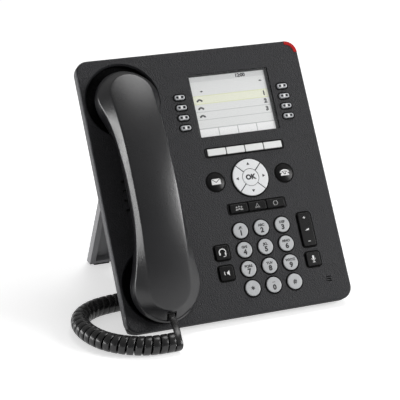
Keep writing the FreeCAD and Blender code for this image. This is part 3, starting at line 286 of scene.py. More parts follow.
# Cover screws: four small pan-head screws in zinc-plated steel, cold-headed with a cross recess.
# They pass through the cover's floor into the bosses behind the panel.
SCREW_SIZES = {"Head radius": 2.75, "Head height": 1.4, "Head round": 0.35, "Shank radius": 1.3,
               "Shank length": 8.6, "Recess span": 3.3, "Recess slot": 0.75, "Recess depth": 0.9}
SCREW_SPOTS = ((-78.0, 78.0), (-78.0, 150.0), (79.0, 104.0), (79.0, 205.0))
HEAD_SIDES = 36
SHANK_SIDES = 20


def new_tree(name, sizes):
    """An empty Geometry Nodes tree that takes points, a number for each named size, and a material."""
    tree = bpy.data.node_groups.new(name, "GeometryNodeTree")
    tree.interface.new_socket("Geometry", in_out="INPUT", socket_type="NodeSocketGeometry")
    for size in sizes:
        tree.interface.new_socket(size, in_out="INPUT", socket_type="NodeSocketFloat")
    tree.interface.new_socket("Finish", in_out="INPUT", socket_type="NodeSocketMaterial")
    tree.interface.new_socket("Geometry", in_out="OUTPUT", socket_type="NodeSocketGeometry")
    return tree, tree.nodes.new("NodeGroupInput").outputs


def spread(tree, given, piece):
    """Puts one piece on every point, realizes it and gives it the finish."""
    placed = add_node(tree, "GeometryNodeInstanceOnPoints", {"Points": given["Geometry"], "Instance": piece})
    real = add_node(tree, "GeometryNodeRealizeInstances", {"Geometry": placed.outputs["Instances"]})
    painted = add_node(tree, "GeometryNodeSetMaterial", {
        "Geometry": real.outputs["Geometry"], "Material": given["Finish"]})
    add_node(tree, "NodeGroupOutput", {"Geometry": painted.outputs["Geometry"]})


def screw_tree():
    """A pan-head screw with its head's outer face at zero height and its shank above it."""
    tree, size = new_tree("cross_head_screw", SCREW_SIZES)
    crown = calc(tree, "SUBTRACT", size["Head radius"], size["Head round"])
    head = add_node(tree, "GeometryNodeMeshCone", {
        "Vertices": HEAD_SIDES, "Radius Bottom": crown, "Radius Top": size["Head radius"],
        "Depth": size["Head height"]})
    cross = tree.nodes.new("GeometryNodeJoinGeometry")
    for x, y in (("Recess span", "Recess slot"), ("Recess slot", "Recess span")):
        bar_size = add_node(tree, "ShaderNodeCombineXYZ", {
            "X": size[x], "Y": size[y], "Z": calc(tree, "MULTIPLY", size["Recess depth"], 2.0)})
        bar = add_node(tree, "GeometryNodeMeshCube", {"Size": bar_size.outputs["Vector"]})
        tree.links.new(bar.outputs["Mesh"], cross.inputs["Geometry"])
    driven = add_node(tree, "GeometryNodeMeshBoolean", {
        "Mesh 1": head.outputs["Mesh"], "Mesh 2": cross.outputs["Geometry"]}, operation="DIFFERENCE")
    shank = add_node(tree, "GeometryNodeMeshCylinder", {
        "Vertices": SHANK_SIDES, "Radius": size["Shank radius"], "Depth": size["Shank length"]})
    middle = calc(tree, "MULTIPLY_ADD", size["Shank length"], 0.5, size["Head height"])
    lift = add_node(tree, "ShaderNodeCombineXYZ", {"Z": middle})
    lifted = add_node(tree, "GeometryNodeTransform", {
        "Geometry": shank.outputs["Mesh"], "Translation": lift.outputs["Vector"]})
    whole = add_node(tree, "GeometryNodeJoinGeometry", {"Geometry": lifted.outputs["Geometry"]})
    tree.links.new(driven.outputs["Mesh"], whole.inputs["Geometry"])
    spread(tree, size, whole.outputs["Geometry"])
    return tree


def grown(name, tree, sizes, finish, points, body):
    """A piece that a tree makes on points in panel millimetres, as a plain mesh that moves with a body."""
    spots = bpy.data.meshes.new(name)
    spots.from_pydata(points, [], [])
    piece = bpy.data.objects.new(name, spots)
    scene.collection.objects.link(piece)
    growth = piece.modifiers.new("growth", "NODES")
    growth.node_group = tree
    for item in tree.interface.items_tree:
        if item.in_out == "INPUT" and item.name in sizes:
            growth[item.identifier] = sizes[item.name]
        if item.in_out == "INPUT" and item.name == "Finish":
            growth[item.identifier] = finish
    made = bpy.data.meshes.new_from_object(piece.evaluated_get(bpy.context.evaluated_depsgraph_get()))
    piece.modifiers.remove(growth)
    made.transform(panel_place)
    piece.data = made
    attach(piece, body)
    return piece


zinc = moulded("zinc_plate", (0.42, 0.42, 0.43), (0.6, 0.6, 0.61),
               (0.25, 0.45), 1200, 0.00002, 0.0, metallic=1.0)
screw_foot = panel_box("cover_screws")[0].z
cover_screws = grown("cross_head_screws", screw_tree(), SCREW_SIZES, zinc,
                     [(x, y, screw_foot) for x, y in SCREW_SPOTS], "base")
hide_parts("cover_screws")

# Sockets: the moulded block on the board with two network sockets and the handset's socket,
# in grey plastic. Gold-plated spring wires lie side by side in each network socket.
socket_grey = moulded("socket_grey", (0.05, 0.05, 0.052), (0.085, 0.085, 0.088), (0.35, 0.5), 700, 0.00003)
dress("board_jacks", socket_grey)
CONTACT_SIZES = {"Radius": 0.2, "Length": 8.5, "Drop": 2.4}
CONTACT_SIDES = 10
CONTACT_PITCH = 1.02
CONTACT_COUNT = 8
CONTACT_BACK = -14.4
CONTACT_Z = -16.6
SOCKETS_Y = (51.0, 67.0)


def contact_tree():
    """A round spring wire that slopes from the back of a socket towards its mouth."""
    tree, size = new_tree("spring_contact", CONTACT_SIZES)
    tip = add_node(tree, "ShaderNodeCombineXYZ", {
        "X": calc(tree, "MULTIPLY", size["Length"], -1.0), "Z": calc(tree, "MULTIPLY", size["Drop"], -1.0)})
    line = add_node(tree, "GeometryNodeCurvePrimitiveLine", {"End": tip.outputs["Vector"]})
    ring = add_node(tree, "GeometryNodeCurvePrimitiveCircle", {
        "Resolution": CONTACT_SIDES, "Radius": size["Radius"]})
    wire = add_node(tree, "GeometryNodeCurveToMesh", {
        "Curve": line.outputs["Curve"], "Profile Curve": ring.outputs["Curve"], "Fill Caps": True})
    spread(tree, size, wire.outputs["Mesh"])
    return tree


gold = moulded("gold_plate", (0.75, 0.52, 0.2), (0.85, 0.62, 0.27),
               (0.2, 0.32), 1500, 0.00001, 0.0, metallic=1.0)
contact_spots = []
for socket_y in SOCKETS_Y:
    for i in range(CONTACT_COUNT):
        contact_y = socket_y + (i - (CONTACT_COUNT - 1) / 2) * CONTACT_PITCH
        contact_spots.append((CONTACT_BACK, contact_y, CONTACT_Z))
grown("socket_contacts", contact_tree(), CONTACT_SIZES, gold, contact_spots, "base")

# Stand: one wide leg in pale grey plastic with a lightening arch and a stiffening border,
# moulded in one piece. It snaps into the cover's lugs and folds flat.
stand_grey = moulded("stand_grey", (0.27, 0.27, 0.28), (0.34, 0.34, 0.35), (0.45, 0.6), 1000, 0.00004)
dress("stand", stand_grey)

# Feet: soft black rubber pads under the panel's lower edge and under the leg, glued into place.
foot_rubber = moulded("foot_rubber", (0.012, 0.012, 0.012), (0.022, 0.022, 0.022),
                      (0.7, 0.85), 1500, 0.00005)
for node in ("rubber_feet", "stand_foot_pads"):
    dress(node, foot_rubber)

# Inside: the green circuit board, the black silicone mat under the keys, the loudspeaker,
# the two microphones, the earpiece and the hook switch's sprung plunger.
solder_mask = moulded("solder_mask", (0.01, 0.06, 0.025), (0.016, 0.085, 0.035), (0.25, 0.4), 600, 0.00002)
dress("main_board", solder_mask)
silicone = moulded("silicone_mat", (0.006, 0.006, 0.006), (0.01, 0.01, 0.01), (0.6, 0.75), 400, 0.00003)
dress("keypad_mat", silicone)
paper_cone = moulded("paper_cone", (0.01, 0.01, 0.01), (0.03, 0.03, 0.03), (0.7, 0.85), 1100, 0.0001)
for node in ("loudspeaker", "base_microphone", "earpiece", "handset_microphone"):
    dress(node, paper_cone)
key_black = moulded("key_black", (0.003, 0.003, 0.0034), (0.006, 0.006, 0.0066),
                    (0.24, 0.34), 1300, 0.00002, specular=0.17)
dress("hook_switch", key_black)

# Message lamp: a clear red light pipe let into the panel's upper right corner,
# moulded in tinted acrylic and polished.
LAMP_GLOW = 0.08


def lit_up(finish, colour, strength):
    """Lets a finish glow as if lit from behind."""
    tree = finish.node_tree
    feed(tree, tree.nodes["Principled BSDF"], {"Emission Color": (*colour, 1), "Emission Strength": strength})


lamp_red = moulded("lamp_red", (0.3, 0.006, 0.006), (0.42, 0.012, 0.011), (0.08, 0.16), 500, 0.00001, 0.02)
lit_up(lamp_red, (0.8, 0.02, 0.02), LAMP_GLOW)
dress("message_lamp", lamp_red)

# Display: a backlit liquid crystal panel in a black frame behind a clear acrylic window.
# It shows plain rows: a header, a marked row, two more rows and four label boxes for the keys below.
SCREEN_W = 69.0
SCREEN_H = 53.2
SCREEN_X = 31.7
SCREEN_Y = 181.3
INK_T = 0.02
HEADER_H = 4.6
ROW_TOP = 17.2
ROW_H = 7.0
ROW_RULE = 0.4
LABEL_H = 7.2
LABEL_GAP = 0.7
WINDOW_GLOSS = (0.04, 0.12)
WINDOW_TINT = 0.06
SMEAR_SCALE = 60
GLOW = 0.2
display_frame = moulded("display_frame", (0.006, 0.006, 0.006), (0.01, 0.01, 0.01),
                        (0.3, 0.45), 900, 0.00002)
dress("lcd_module", display_frame)
window_clear = bpy.data.materials.new("window_clear")
window_clear.use_nodes = True
window = window_clear.node_tree
smear = add_node(window, "ShaderNodeGroup", {"Scale": SMEAR_SCALE}, node_tree=moulded_grain)
smeared = add_node(window, "ShaderNodeMapRange", {
    "Value": smear.outputs["Mask"], "To Min": WINDOW_GLOSS[0], "To Max": WINDOW_GLOSS[1]})
feed(window, window.nodes["Principled BSDF"], {
    "Base Color": (0.9, 0.92, 0.93, 1), "Alpha": WINDOW_TINT, "Roughness": smeared.outputs["Result"]})
dress("display_lens", window_clear)


def add_plate(shape, outline, low, high):
    """A flat plate from an outline on the panel, between two heights."""
    floor = [shape.verts.new((x, y, low)) for x, y in outline]
    roof = [shape.verts.new((x, y, high)) for x, y in outline]
    shape.faces.new(list(reversed(floor)))
    shape.faces.new(roof)
    for i in range(len(outline)):
        k = (i + 1) % len(outline)
        shape.faces.new((floor[i], floor[k], roof[k], roof[i]))


def add_stroke(shape, line, width, low, high):
    """A flat stroke of even width along a line on the panel, between two heights."""
    left = []
    right = []
    for i, (x, y) in enumerate(line):
        before = Vector(line[max(i - 1, 0)])
        after = Vector(line[min(i + 1, len(line) - 1)])
        ahead = (after - before).normalized() * (width / 2)
        left.append((x - ahead.y, y + ahead.x))
        right.append((x + ahead.y, y - ahead.x))
    add_plate(shape, right + list(reversed(left)), low, high)


def add_letters(shape, words, size, x, y, low, high, weight=0.0):
    """Letters or digits centred on a place on the panel, between two heights."""
    curve = bpy.data.curves.new("letters", "FONT")
    curve.body = words
    curve.size = size
    curve.align_x = "CENTER"
    curve.align_y = "CENTER"
    curve.offset = weight
    curve.resolution_u = 4
    curve.extrude = (high - low) / 2
    holder = bpy.data.objects.new("letters", curve)
    scene.collection.objects.link(holder)
    mesh = bpy.data.meshes.new_from_object(holder.evaluated_get(bpy.context.evaluated_depsgraph_get()))
    mesh.transform(Matrix.Translation((x, y, (low + high) / 2)))
    shape.from_mesh(mesh)
    bpy.data.objects.remove(holder)
    bpy.data.meshes.remove(mesh)


def round_line(x, y, r, start=0, end=360, count=24):
    """Points along an arc on the panel, from one angle to another."""
    angles = [math.radians(start + (end - start) * i / count) for i in range(count + 1)]
    if end - start == 360:
        angles.pop()
    return [(x + r * math.cos(a), y + r * math.sin(a)) for a in angles]


def bar_line(x, y, w, h, r=0.0):
    """The outline of a bar on the panel, with round corners where a radius is given."""
    corners = ((1, 1, 0), (-1, 1, 90), (-1, -1, 180), (1, -1, 270))
    line = []
    for side_x, side_y, start in corners:
        centre = (x + side_x * (w / 2 - r), y + side_y * (h / 2 - r))
        line += round_line(*centre, r, start, start + 90, 5) if r else [centre]
    return line


def settle(shape, name, finish, body):
    """Turns a shape in panel millimetres into a piece that moves with a body."""
    bmesh.ops.remove_doubles(shape, verts=shape.verts, dist=0.00001)
    bmesh.ops.recalc_face_normals(shape, faces=shape.faces)
    mesh = bpy.data.meshes.new(name)
    shape.to_mesh(mesh)
    shape.free()
    mesh.transform(panel_place)
    mesh.materials.append(finish)
    piece = bpy.data.objects.new(name, mesh)
    scene.collection.objects.link(piece)
    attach(piece, body)
    return piece


def screen_tint(name, colour):
    """One backlit colour of the display."""
    tint = moulded(name, tuple(c * 0.94 for c in colour), colour, (0.5, 0.6), 800, 0.000005, 0.0)
    lit_up(tint, colour, GLOW)
    return tint


def screen_bars(name, tint, colour, layer, bars):
    """Flat bars in one colour on the display, each by its middle and its size, in a layer of ink."""
    shape = bmesh.new()
    for bar in bars:
        add_plate(shape, bar_line(*bar), screen_z + layer * INK_T, screen_z + (layer + 1) * INK_T)
    settle(shape, name, screen_tint(tint, colour), "base")


screen_left = SCREEN_X - SCREEN_W / 2
screen_right = SCREEN_X + SCREEN_W / 2
screen_top = SCREEN_Y + SCREEN_H / 2
screen_bottom = SCREEN_Y - SCREEN_H / 2
screen_z = panel_box("lcd_module")[1].z + 0.01
label_w = (SCREEN_W - 3 * LABEL_GAP) / 4
label_y = screen_bottom + LABEL_H / 2
labels_x = [screen_left + label_w / 2 + i * (label_w + LABEL_GAP) for i in range(4)]
row_rules = [(SCREEN_X, screen_top - ROW_TOP - i * ROW_H, SCREEN_W, ROW_RULE) for i in range(4)]
label_rules = [(x - (label_w + LABEL_GAP) / 2, label_y, LABEL_GAP, LABEL_H) for x in labels_x[1:]]
label_rules.append((SCREEN_X, screen_bottom + LABEL_H, SCREEN_W, LABEL_GAP))
screen_bars("screen_ground", "screen_grey", (0.65, 0.655, 0.65), 0,
            [(SCREEN_X, SCREEN_Y, SCREEN_W, SCREEN_H)])
screen_bars("screen_header", "screen_header_grey", (0.57, 0.575, 0.575), 1,
            [(SCREEN_X, screen_top - HEADER_H / 2, SCREEN_W, HEADER_H)])
screen_bars("screen_marked_row", "screen_cream", (0.7, 0.71, 0.58), 1,
            [(SCREEN_X, screen_top - ROW_TOP - ROW_H / 2, SCREEN_W, ROW_H)])
screen_bars("screen_marked_rules", "screen_green", (0.6, 0.63, 0.28), 2, row_rules[:2])
screen_bars("screen_labels", "screen_white", (0.78, 0.78, 0.78), 1,
            [(x, label_y, label_w, LABEL_H) for x in labels_x])
screen_bars("screen_rules", "screen_rule_grey", (0.38, 0.39, 0.39), 2, row_rules[2:] + label_rules)
signs = bmesh.new()
sign_span = (screen_z + 2 * INK_T, screen_z + 3 * INK_T)
hook_x = screen_left + 5.4
for i in range(3):
    sign_y = screen_top - ROW_TOP - (i + 0.5) * ROW_H
    add_stroke(signs, round_line(hook_x, sign_y - 1.6, 1.9, 25, 155, 10), 1.5, *sign_span)
    for side in (-1, 1):
        add_plate(signs, bar_line(hook_x + side * 1.9, sign_y - 0.7, 1.6, 1.6, 0.3), *sign_span)
    add_letters(signs, str(i + 1), 5.0, screen_right - 4.0, sign_y, *sign_span, 0.36)
add_letters(signs, "12:00", 4.2, SCREEN_X + 12.0, screen_top - HEADER_H / 2, *sign_span, 0.26)
for x, y in ((screen_right - 5.0, screen_top - 9.0), (screen_left + 8.8, screen_top - 13.2)):
    add_plate(signs, [(x - 1.6, y), (x, y - 0.8), (x + 1.6, y), (x, y + 0.8)], *sign_span)
settle(signs, "screen_signs", screen_tint("screen_ink", (0.006, 0.006, 0.0066)), "base")

# Key shade rings: a thin near-black ring on the panel round every key, matt black,
# painted shade that stands for the dark gaps and shaded side walls round the keys.
SHADE_RING_W = 1.0
SHADE_RING_LOW = -0.3
SHADE_RING_HIGH = 0.03
HOLE_GAP = 0.35
DIAL_R = 6.55
DIAL_X = 12.2
DIAL_Y = 70.4
DIAL_STEP_X = 19.0
DIAL_STEP_Y = 16.4
RING_R = 16.0
DOME_R = 7.6
RING_Y = 114.3
LINE_KEY_Y = 190.5
LINE_KEY_PITCH = 8.95
gap_shade_black = moulded("gap_shade_black", (0.003, 0.003, 0.003), (0.005, 0.005, 0.005),
                     (0.5, 0.65), 900, 0.00002, 0.0, specular=0.06)
key_gap_shade = bmesh.new()


def add_gap_shade_ring(x, y, w, h, r):
    """A flat ring of painted shade round the hole of a key of a size and corner radius."""
    loops = []
    inner = HOLE_GAP
    outer = HOLE_GAP + SHADE_RING_W
    for gap, z in ((inner, SHADE_RING_LOW), (outer, SHADE_RING_LOW), (outer, SHADE_RING_HIGH), (inner, SHADE_RING_HIGH)):
        line = bar_line(x, y, w + 2 * gap, h + 2 * gap, r + gap)
        loops.append([key_gap_shade.verts.new((*p, z)) for p in line])
    for a, b in zip(loops, loops[1:] + loops[:1]):
        for i in range(len(a)):
            k = (i + 1) % len(a)
            key_gap_shade.faces.new((a[i], a[k], b[k], b[i]))


for column in range(3):
    for row in range(4):
        add_gap_shade_ring(DIAL_X + DIAL_STEP_X * column, DIAL_Y - DIAL_STEP_Y * row, 2 * DIAL_R, 2 * DIAL_R, DIAL_R)
for x, r in ((31.3, RING_R), (0.0, DOME_R), (62.6, DOME_R)):
    add_gap_shade_ring(x, RING_Y, 2 * r, 2 * r, r)
add_gap_shade_ring(31.9, 139.75, 69.9, 6.0, 0.8)
add_gap_shade_ring(31.75, 89.45, 50.8, 7.4, 0.8)
for x, y in ((-7.7, 54.3), (-7.7, 36.9), (71.15, 37.35)):
    add_gap_shade_ring(x, y, 12.4, 12.0, 2.0)
add_gap_shade_ring(71.15, 63.15, 11.7, 29.0, 2.2)
for x in (-16.0, 78.4):
    for row in range(4):
        add_gap_shade_ring(x, LINE_KEY_Y - LINE_KEY_PITCH * row, 9.2, 4.0, 1.9)
# The rings are painted shade round the keys, not a moulded step in the panel.
settle(key_gap_shade, "key_gap_shade", gap_shade_black, "base")

# Dial keys: twelve round caps in pearl-silver plastic with their digits and letters printed in black
# by pads. Each cap slides in its hole on a dome of the silicone mat.
key_silver = moulded("key_silver", (0.45, 0.46, 0.47), (0.53, 0.54, 0.55), (0.2, 0.3), 900, 0.00002, 0.0)
dial_top = panel_box("dial_key_5")[1].z
# Painted shade on the caps' sides below their tops, for the dark gaps round them.
paint_recess_shade_and_rim_highlight(key_silver, 0.5, dial_top - 1.1, dial_top - 0.5)
PRINT_LOW = -0.04
PRINT_HIGH = 0.03
DIGIT_SIZE = 5.8
DIGIT_WEIGHT = 0.32
LETTER_SIZE = 2.9
LETTER_WEIGHT = 0.16


def ink(name, dark, light):
    """A flat printing ink."""
    return moulded(name, dark, light, (0.4, 0.55), 2000, 0.000005, 0.0)


print_black = ink("print_black", (0.008, 0.008, 0.009), (0.014, 0.014, 0.015))
dial_faces = {"1": ".@", "2": "ABC", "3": "DEF", "4": "GHI", "5": "JKL", "6": "MNO",
              "7": "PQRS", "8": "TUV", "9": "WXYZ", "0": "", "star": "", "hash": ""}


def key_face(key):
    """The middle of a key's cap on the panel and the heights between which its print lies."""
    low, high = panel_box(key)
    middle = (low + high) / 2
    return middle.x, middle.y, high.z + PRINT_LOW, high.z + PRINT_HIGH


for digit, small in dial_faces.items():
    key = "dial_key_" + digit
    dress(key, key_silver)
    x, y, low, high = key_face(key)
    face = bmesh.new()
    if digit == "star":
        for angle in (90, 150, 210):
            tip = Vector((math.cos(math.radians(angle)), math.sin(math.radians(angle)))) * 1.7
            add_stroke(face, [(x - tip.x, y - tip.y), (x + tip.x, y + tip.y)], 0.8, low, high)
    elif digit == "hash":
        add_letters(face, "#", 5.2, x, y - 0.2, low, high, 0.2)
    else:
        add_letters(face, digit, DIGIT_SIZE, x, y - 2.3, low, high, DIGIT_WEIGHT)
        if digit == "0":
            add_plate(face, bar_line(x, y + 2.2, 2.6, 0.45), low, high)
        else:
            add_letters(face, small, LETTER_SIZE, x, y + 2.1, low, high, LETTER_WEIGHT)
    settle(face, key + "_print", print_black, key + "_cap")

# Arrow keys and OK: four sectors of a bright silver ring round a round middle key,
# with small black triangles and two letters printed on them.
ARROW_MARK = 11.6
ARROW_R = 1.6
ring_silver = moulded("ring_silver", (0.76, 0.77, 0.78), (0.84, 0.85, 0.86),
                      (0.26, 0.36), 900, 0.00002, 0.0)
ok_x, ok_y, ok_low, ok_high = key_face("ok_key")
ring_top = panel_box("nav_up")[1].z
# Painted shade on the sectors' and the OK key's sides below their tops, for the dark gaps between them.
paint_recess_shade_and_rim_highlight(ring_silver, 0.5, ring_top - 0.8, ring_top - 0.25)
dress("ok_key", ring_silver)
ok_face = bmesh.new()
add_letters(ok_face, "OK", DIGIT_SIZE, ok_x, ok_y, ok_low, ok_high, 0.34)
settle(ok_face, "ok_print", print_black, "ok_key_cap")
for key, angle in (("nav_right", 0), ("nav_up", 90), ("nav_left", 180), ("nav_down", 270)):
    dress(key, ring_silver)
    low, high = key_face(key)[2:]
    mark_x = ok_x + ARROW_MARK * math.cos(math.radians(angle))
    mark_y = ok_y + ARROW_MARK * math.sin(math.radians(angle))
    face = bmesh.new()
    add_plate(face, round_line(mark_x, mark_y, ARROW_R, angle, angle + 240, 2), low, high)
    settle(face, key + "_print", print_black, key + "_cap")

# Soft keys: four long white caps side by side under the display, moulded in gloss white.
key_white = moulded("key_white", (0.76, 0.77, 0.76), (0.84, 0.85, 0.84), (0.28, 0.4), 700, 0.00002, 0.0)
soft_top = panel_box("soft_key_1")[1].z
# Painted shade on the caps' sides below their tops, for the dark gaps round them.
paint_recess_shade_and_rim_highlight(key_white, 0.5, soft_top - 0.8, soft_top - 0.25)
for i in range(1, 5):
    dress(f"soft_key_{i}", key_white)

# Line keys: small clear pill-shaped caps in two columns beside the display.
# Each has a white bar in its middle and two smoked lamp windows.
key_frost = moulded("key_frost", (0.42, 0.43, 0.45), (0.52, 0.53, 0.55), (0.16, 0.28), 700, 0.00002, 0.0)
lamp_smoke = moulded("lamp_smoke", (0.012, 0.012, 0.013), (0.02, 0.02, 0.022),
                     (0.12, 0.22), 700, 0.00001, 0.0)
centre_white = moulded("centre_white", (0.8, 0.8, 0.8), (0.86, 0.86, 0.86), (0.2, 0.3), 700, 0.00001, 0.0)
for side in ("left", "right"):
    for i in range(1, 5):
        key = f"line_key_{side}_{i}"
        dress(key, key_frost)
        x, y, low, high = key_face(key)
        windows = bmesh.new()
        for step in (-2.15, 2.15):
            add_plate(windows, bar_line(x + step, y, 2.1, 2.0, 0.6), low, high)
        settle(windows, key + "_windows", lamp_smoke, key + "_cap")
        centre_bar = bmesh.new()
        add_plate(centre_bar, bar_line(x, y, 1.7, 2.5, 0.5), low, high)
        settle(centre_bar, key + "_pipe", centre_white, key + "_cap")

# Black keys: domed round keys beside the ring, a strip of three, three square keys and the volume
# rocker, in satin black with their signs printed in white and grey.
print_white = ink("print_white", (0.74, 0.74, 0.74), (0.82, 0.82, 0.82))
print_grey = ink("print_grey", (0.3, 0.3, 0.3), (0.36, 0.36, 0.36))
DOME_SINK = 0.5


def envelope(sign, x, y, low, high):
    add_plate(sign, [(x - 3.6, y + 2.5), (x, y - 0.2), (x + 3.6, y + 2.5)], low, high)
    add_plate(sign, [(x - 4.0, y - 2.4), (x + 4.0, y - 2.4), (x + 4.0, y + 2.1), (x, y - 0.9),
                     (x - 4.0, y + 2.1)], low, high)


def telephone(sign, x, y, low, high):
    add_stroke(sign, round_line(x, y - 3.0, 5.2, 45, 135, 12), 1.2, low, high)
    for side in (-1, 1):
        add_plate(sign, bar_line(x + side * 3.2, y + 0.5, 1.9, 1.2, 0.3), low, high)
        add_plate(sign, [(x + side * 1.1, y + 0.5), (x + side * 1.7, y + 0.5), (x + side * 3.7, y - 1.4),
                         (x + side * 3.7, y - 2.6), (x, y - 2.6), (x, y - 1.7),
                         (x + side * 1.1, y - 1.2)], low, high)
    add_plate(sign, bar_line(x, y + 0.9, 2.4, 0.6), low, high)
    add_plate(sign, round_line(x, y - 0.3, 0.65), low, high)


def people(sign, x, y, low, high):
    for step, lift in ((-2.2, -0.2), (2.2, -0.2), (0, 0.3)):
        add_plate(sign, round_line(x + step, y + 0.9 + lift, 0.75, count=14), low, high)
        add_plate(sign, round_line(x + step, y - 1.7 + lift, 1.25, 0, 180, 12), low, high)


def house(sign, x, y, low, high):
    add_stroke(sign, [(x - 1.9, y - 2.0), (x, y + 2.0), (x + 1.9, y - 2.0)], 0.55, low, high)
    add_stroke(sign, round_line(x, y - 2.0, 0.9, 0, 180, 10), 0.45, low, high)


def round_arrows(sign, x, y, low, high):
    for start in (100, 280):
        add_stroke(sign, round_line(x, y, 1.9, start, start + 125, 12), 0.55, low, high)
        end = math.radians(start + 140)
        tip_x = x + 1.9 * math.cos(end)
        tip_y = y + 1.9 * math.sin(end)
        add_plate(sign, round_line(tip_x, tip_y, 0.8, start + 230, start + 470, 2), low, high)


def headset(sign, x, y, low, high):
    add_stroke(sign, round_line(x, y + 0.2, 2.9, -20, 200, 22), 0.75, low, high)
    for side in (-1, 1):
        add_plate(sign, bar_line(x + side * 2.5, y - 1.0, 1.3, 2.2, 0.4), low, high)
    boom = [(x + 2.8, y - 2.0), (x + 2.4, y - 3.0), (x + 1.4, y - 3.4), (x + 0.3, y - 3.4)]
    add_stroke(sign, boom, 0.5, low, high)


def loudspeaker_sign(sign, x, y, low, high):
    add_plate(sign, [(x + 0.2, y + 0.9), (x + 0.2, y - 0.9), (x + 0.9, y - 0.9), (x + 2.4, y - 2.3),
                     (x + 2.4, y + 2.3), (x + 0.9, y + 0.9)], low, high)
    add_stroke(sign, round_line(x + 0.9, y, 2.9, 150, 210, 8), 0.6, low, high)


def microphone_sign(sign, x, y, low, high):
    add_plate(sign, bar_line(x, y + 1.3, 1.7, 3.4, 0.8), low, high)
    add_stroke(sign, round_line(x, y + 0.6, 1.6, 180, 360, 14), 0.45, low, high)
    add_plate(sign, bar_line(x, y - 1.9, 0.5, 1.6), low, high)
    add_plate(sign, bar_line(x, y - 2.8, 2.4, 0.5), low, high)


def volume_sign(sign, x, y, low, high):
    add_plate(sign, bar_line(x - 0.3, y + 10.2, 2.2, 0.55), low, high)
    add_plate(sign, bar_line(x - 0.3, y + 10.2, 0.55, 2.2), low, high)
    add_plate(sign, [(x - 1.9, y - 0.9), (x + 1.9, y - 0.9), (x + 1.9, y + 0.9)], low, high)
    add_plate(sign, bar_line(x, y - 10.4, 2.2, 0.55), low, high)


black_keys = (("message_key", envelope, print_white, DOME_SINK),
              ("phone_key", telephone, print_white, DOME_SINK),
              ("contacts_key", people, print_grey, 0.0),
              ("menu_key", house, print_grey, 0.0),
              ("history_key", round_arrows, print_grey, 0.0),
              ("headset_key", headset, print_white, 0.0),
              ("speaker_key", loudspeaker_sign, print_white, 0.0),
              ("mute_key", microphone_sign, print_white, 0.0),
              ("volume_rocker", volume_sign, print_white, 0.0))
for key, draw, print_ink, sink in black_keys:
    dress(key, key_black)
    x, y, low, high = key_face(key)
    sign = bmesh.new()
    draw(sign, x, y, low - sink, high)
    settle(sign, key + "_print", print_ink, "volume" if key == "volume_rocker" else key + "_cap")

# Handset: two satin black shells, moulded apart and snapped together along a fine parting line.
# The outer one has flat flanks and an arched, crowned back that meets them in a soft crease.
CRADLE_X = -65.3
EAR_Y = 190.5
MOUTH_Y = 32.0
LOW_Z = 7.5
low_outline = (16.0, 26.0, EAR_Y, 28.0, MOUTH_Y)
edge_outline = (20.7, 26.0, EAR_Y, 27.6, 32.5)
crease_outline = (17.7, 18.0, 191.1, 17.4, 29.9)
EDGE_DROP = 6.0
EAR_DROP = 5.0
EAR_DROP_FROM = 115.0
EAR_DROP_TO = 160.0
EDGE_LOWEST = 8.2
EDGE_ROUND = 1.1
SPINE_LOW = 30.0
SPINE_HIGH = 191.0
WAIST_EAR_Y = 148.0
WAIST_MOUTH_Y = 95.0
ARCH_Y = 117.2
ARCH_TOP = 41.1
ARCH_R = 241.4
CROWN_R = 110.0
PARTING_TOP = 22.0
PARTING_R = 480.0
PARTING_GROOVE = 0.15
FINGER_ROOM = ((55.5, 86.2, 84.15, -15.31, 30.38),
               (86.2, 150.2, 118.2, -239.75, 256.75),
               (150.2, 168.0, 146.79, -5.95, 21.22))
FINGER_GAP = 0.3
CREASE = 1.1
CREASE_X = 18.0
SHELL_WALL = 2.2
SKIRT_WALL = 1.2
JACK_W = 8.0
JACK_H = 6.7
JACK_Y = 10.0
JACK_Z = 12.0
JACK_END = 20.7
JACK_PAST = 10.0
SHARP_ANGLE = math.radians(40)
CAP_POINTS = 16
SIDE_POINTS = 14
GRIP_POINTS = 12
CORNER_STEPS = 5
CORNER_SHARE = 0.45
BACK_STEPS = 9
PARTING_STEPS = 40
handset_black = moulded("handset_black", (0.005, 0.005, 0.0062), (0.008, 0.008, 0.01),
                        (0.26, 0.34), 1400, 0.00009, specular=0.68)
dress("handset_inner_shell", handset_black)


def end_line(waist, waist_y, cap_r, cap_y, tip):
    """One end of the outline's right side, from the tip to the grip: a round cap, then an easing arc."""
    reach = cap_y - waist_y
    radius = (waist ** 2 + reach ** 2 - cap_r ** 2) / (2 * (waist - cap_r))
    centre = Vector((waist - radius, waist_y))
    along = (Vector((0, cap_y)) - centre).normalized() * math.copysign(1, radius)
    meet_angle = math.degrees(math.atan2(along.y, along.x))
    line = round_line(0, cap_y, cap_r, tip, meet_angle, CAP_POINTS)
    turn = meet_angle + (0 if radius > 0 else 180)
    if radius < 0:
        turn -= math.copysign(360, turn) if abs(turn) > 180 else 0
    rest = 0 if radius > 0 else math.copysign(180, turn)
    line += round_line(*centre, abs(radius), turn, rest, SIDE_POINTS)[1:]
    return line


def bone_line(waist, ear_r, ear_y, mouth_r, mouth_y):
    """The handset's whole outline, once round from the tip of its mouth end."""
    right = end_line(waist, WAIST_MOUTH_Y, mouth_r, mouth_y, -90)
    other = end_line(waist, WAIST_EAR_Y, ear_r, ear_y, 90)
    foot = Vector(right[-1])
    head = Vector(other[-1])
    right += [tuple(foot.lerp(head, i / GRIP_POINTS)) for i in range(1, GRIP_POINTS)]
    right += list(reversed(other))
    left = [(-x, y) for x, y in reversed(right[1:-1])]
    return right + left


def arch_height(x, y):
    """The height of the handset's arched and crowned back."""
    radius = ARCH_R - CROWN_R + math.sqrt(CROWN_R ** 2 - x ** 2)
    return ARCH_TOP - ARCH_R + math.sqrt(radius ** 2 - (y - ARCH_Y) ** 2)


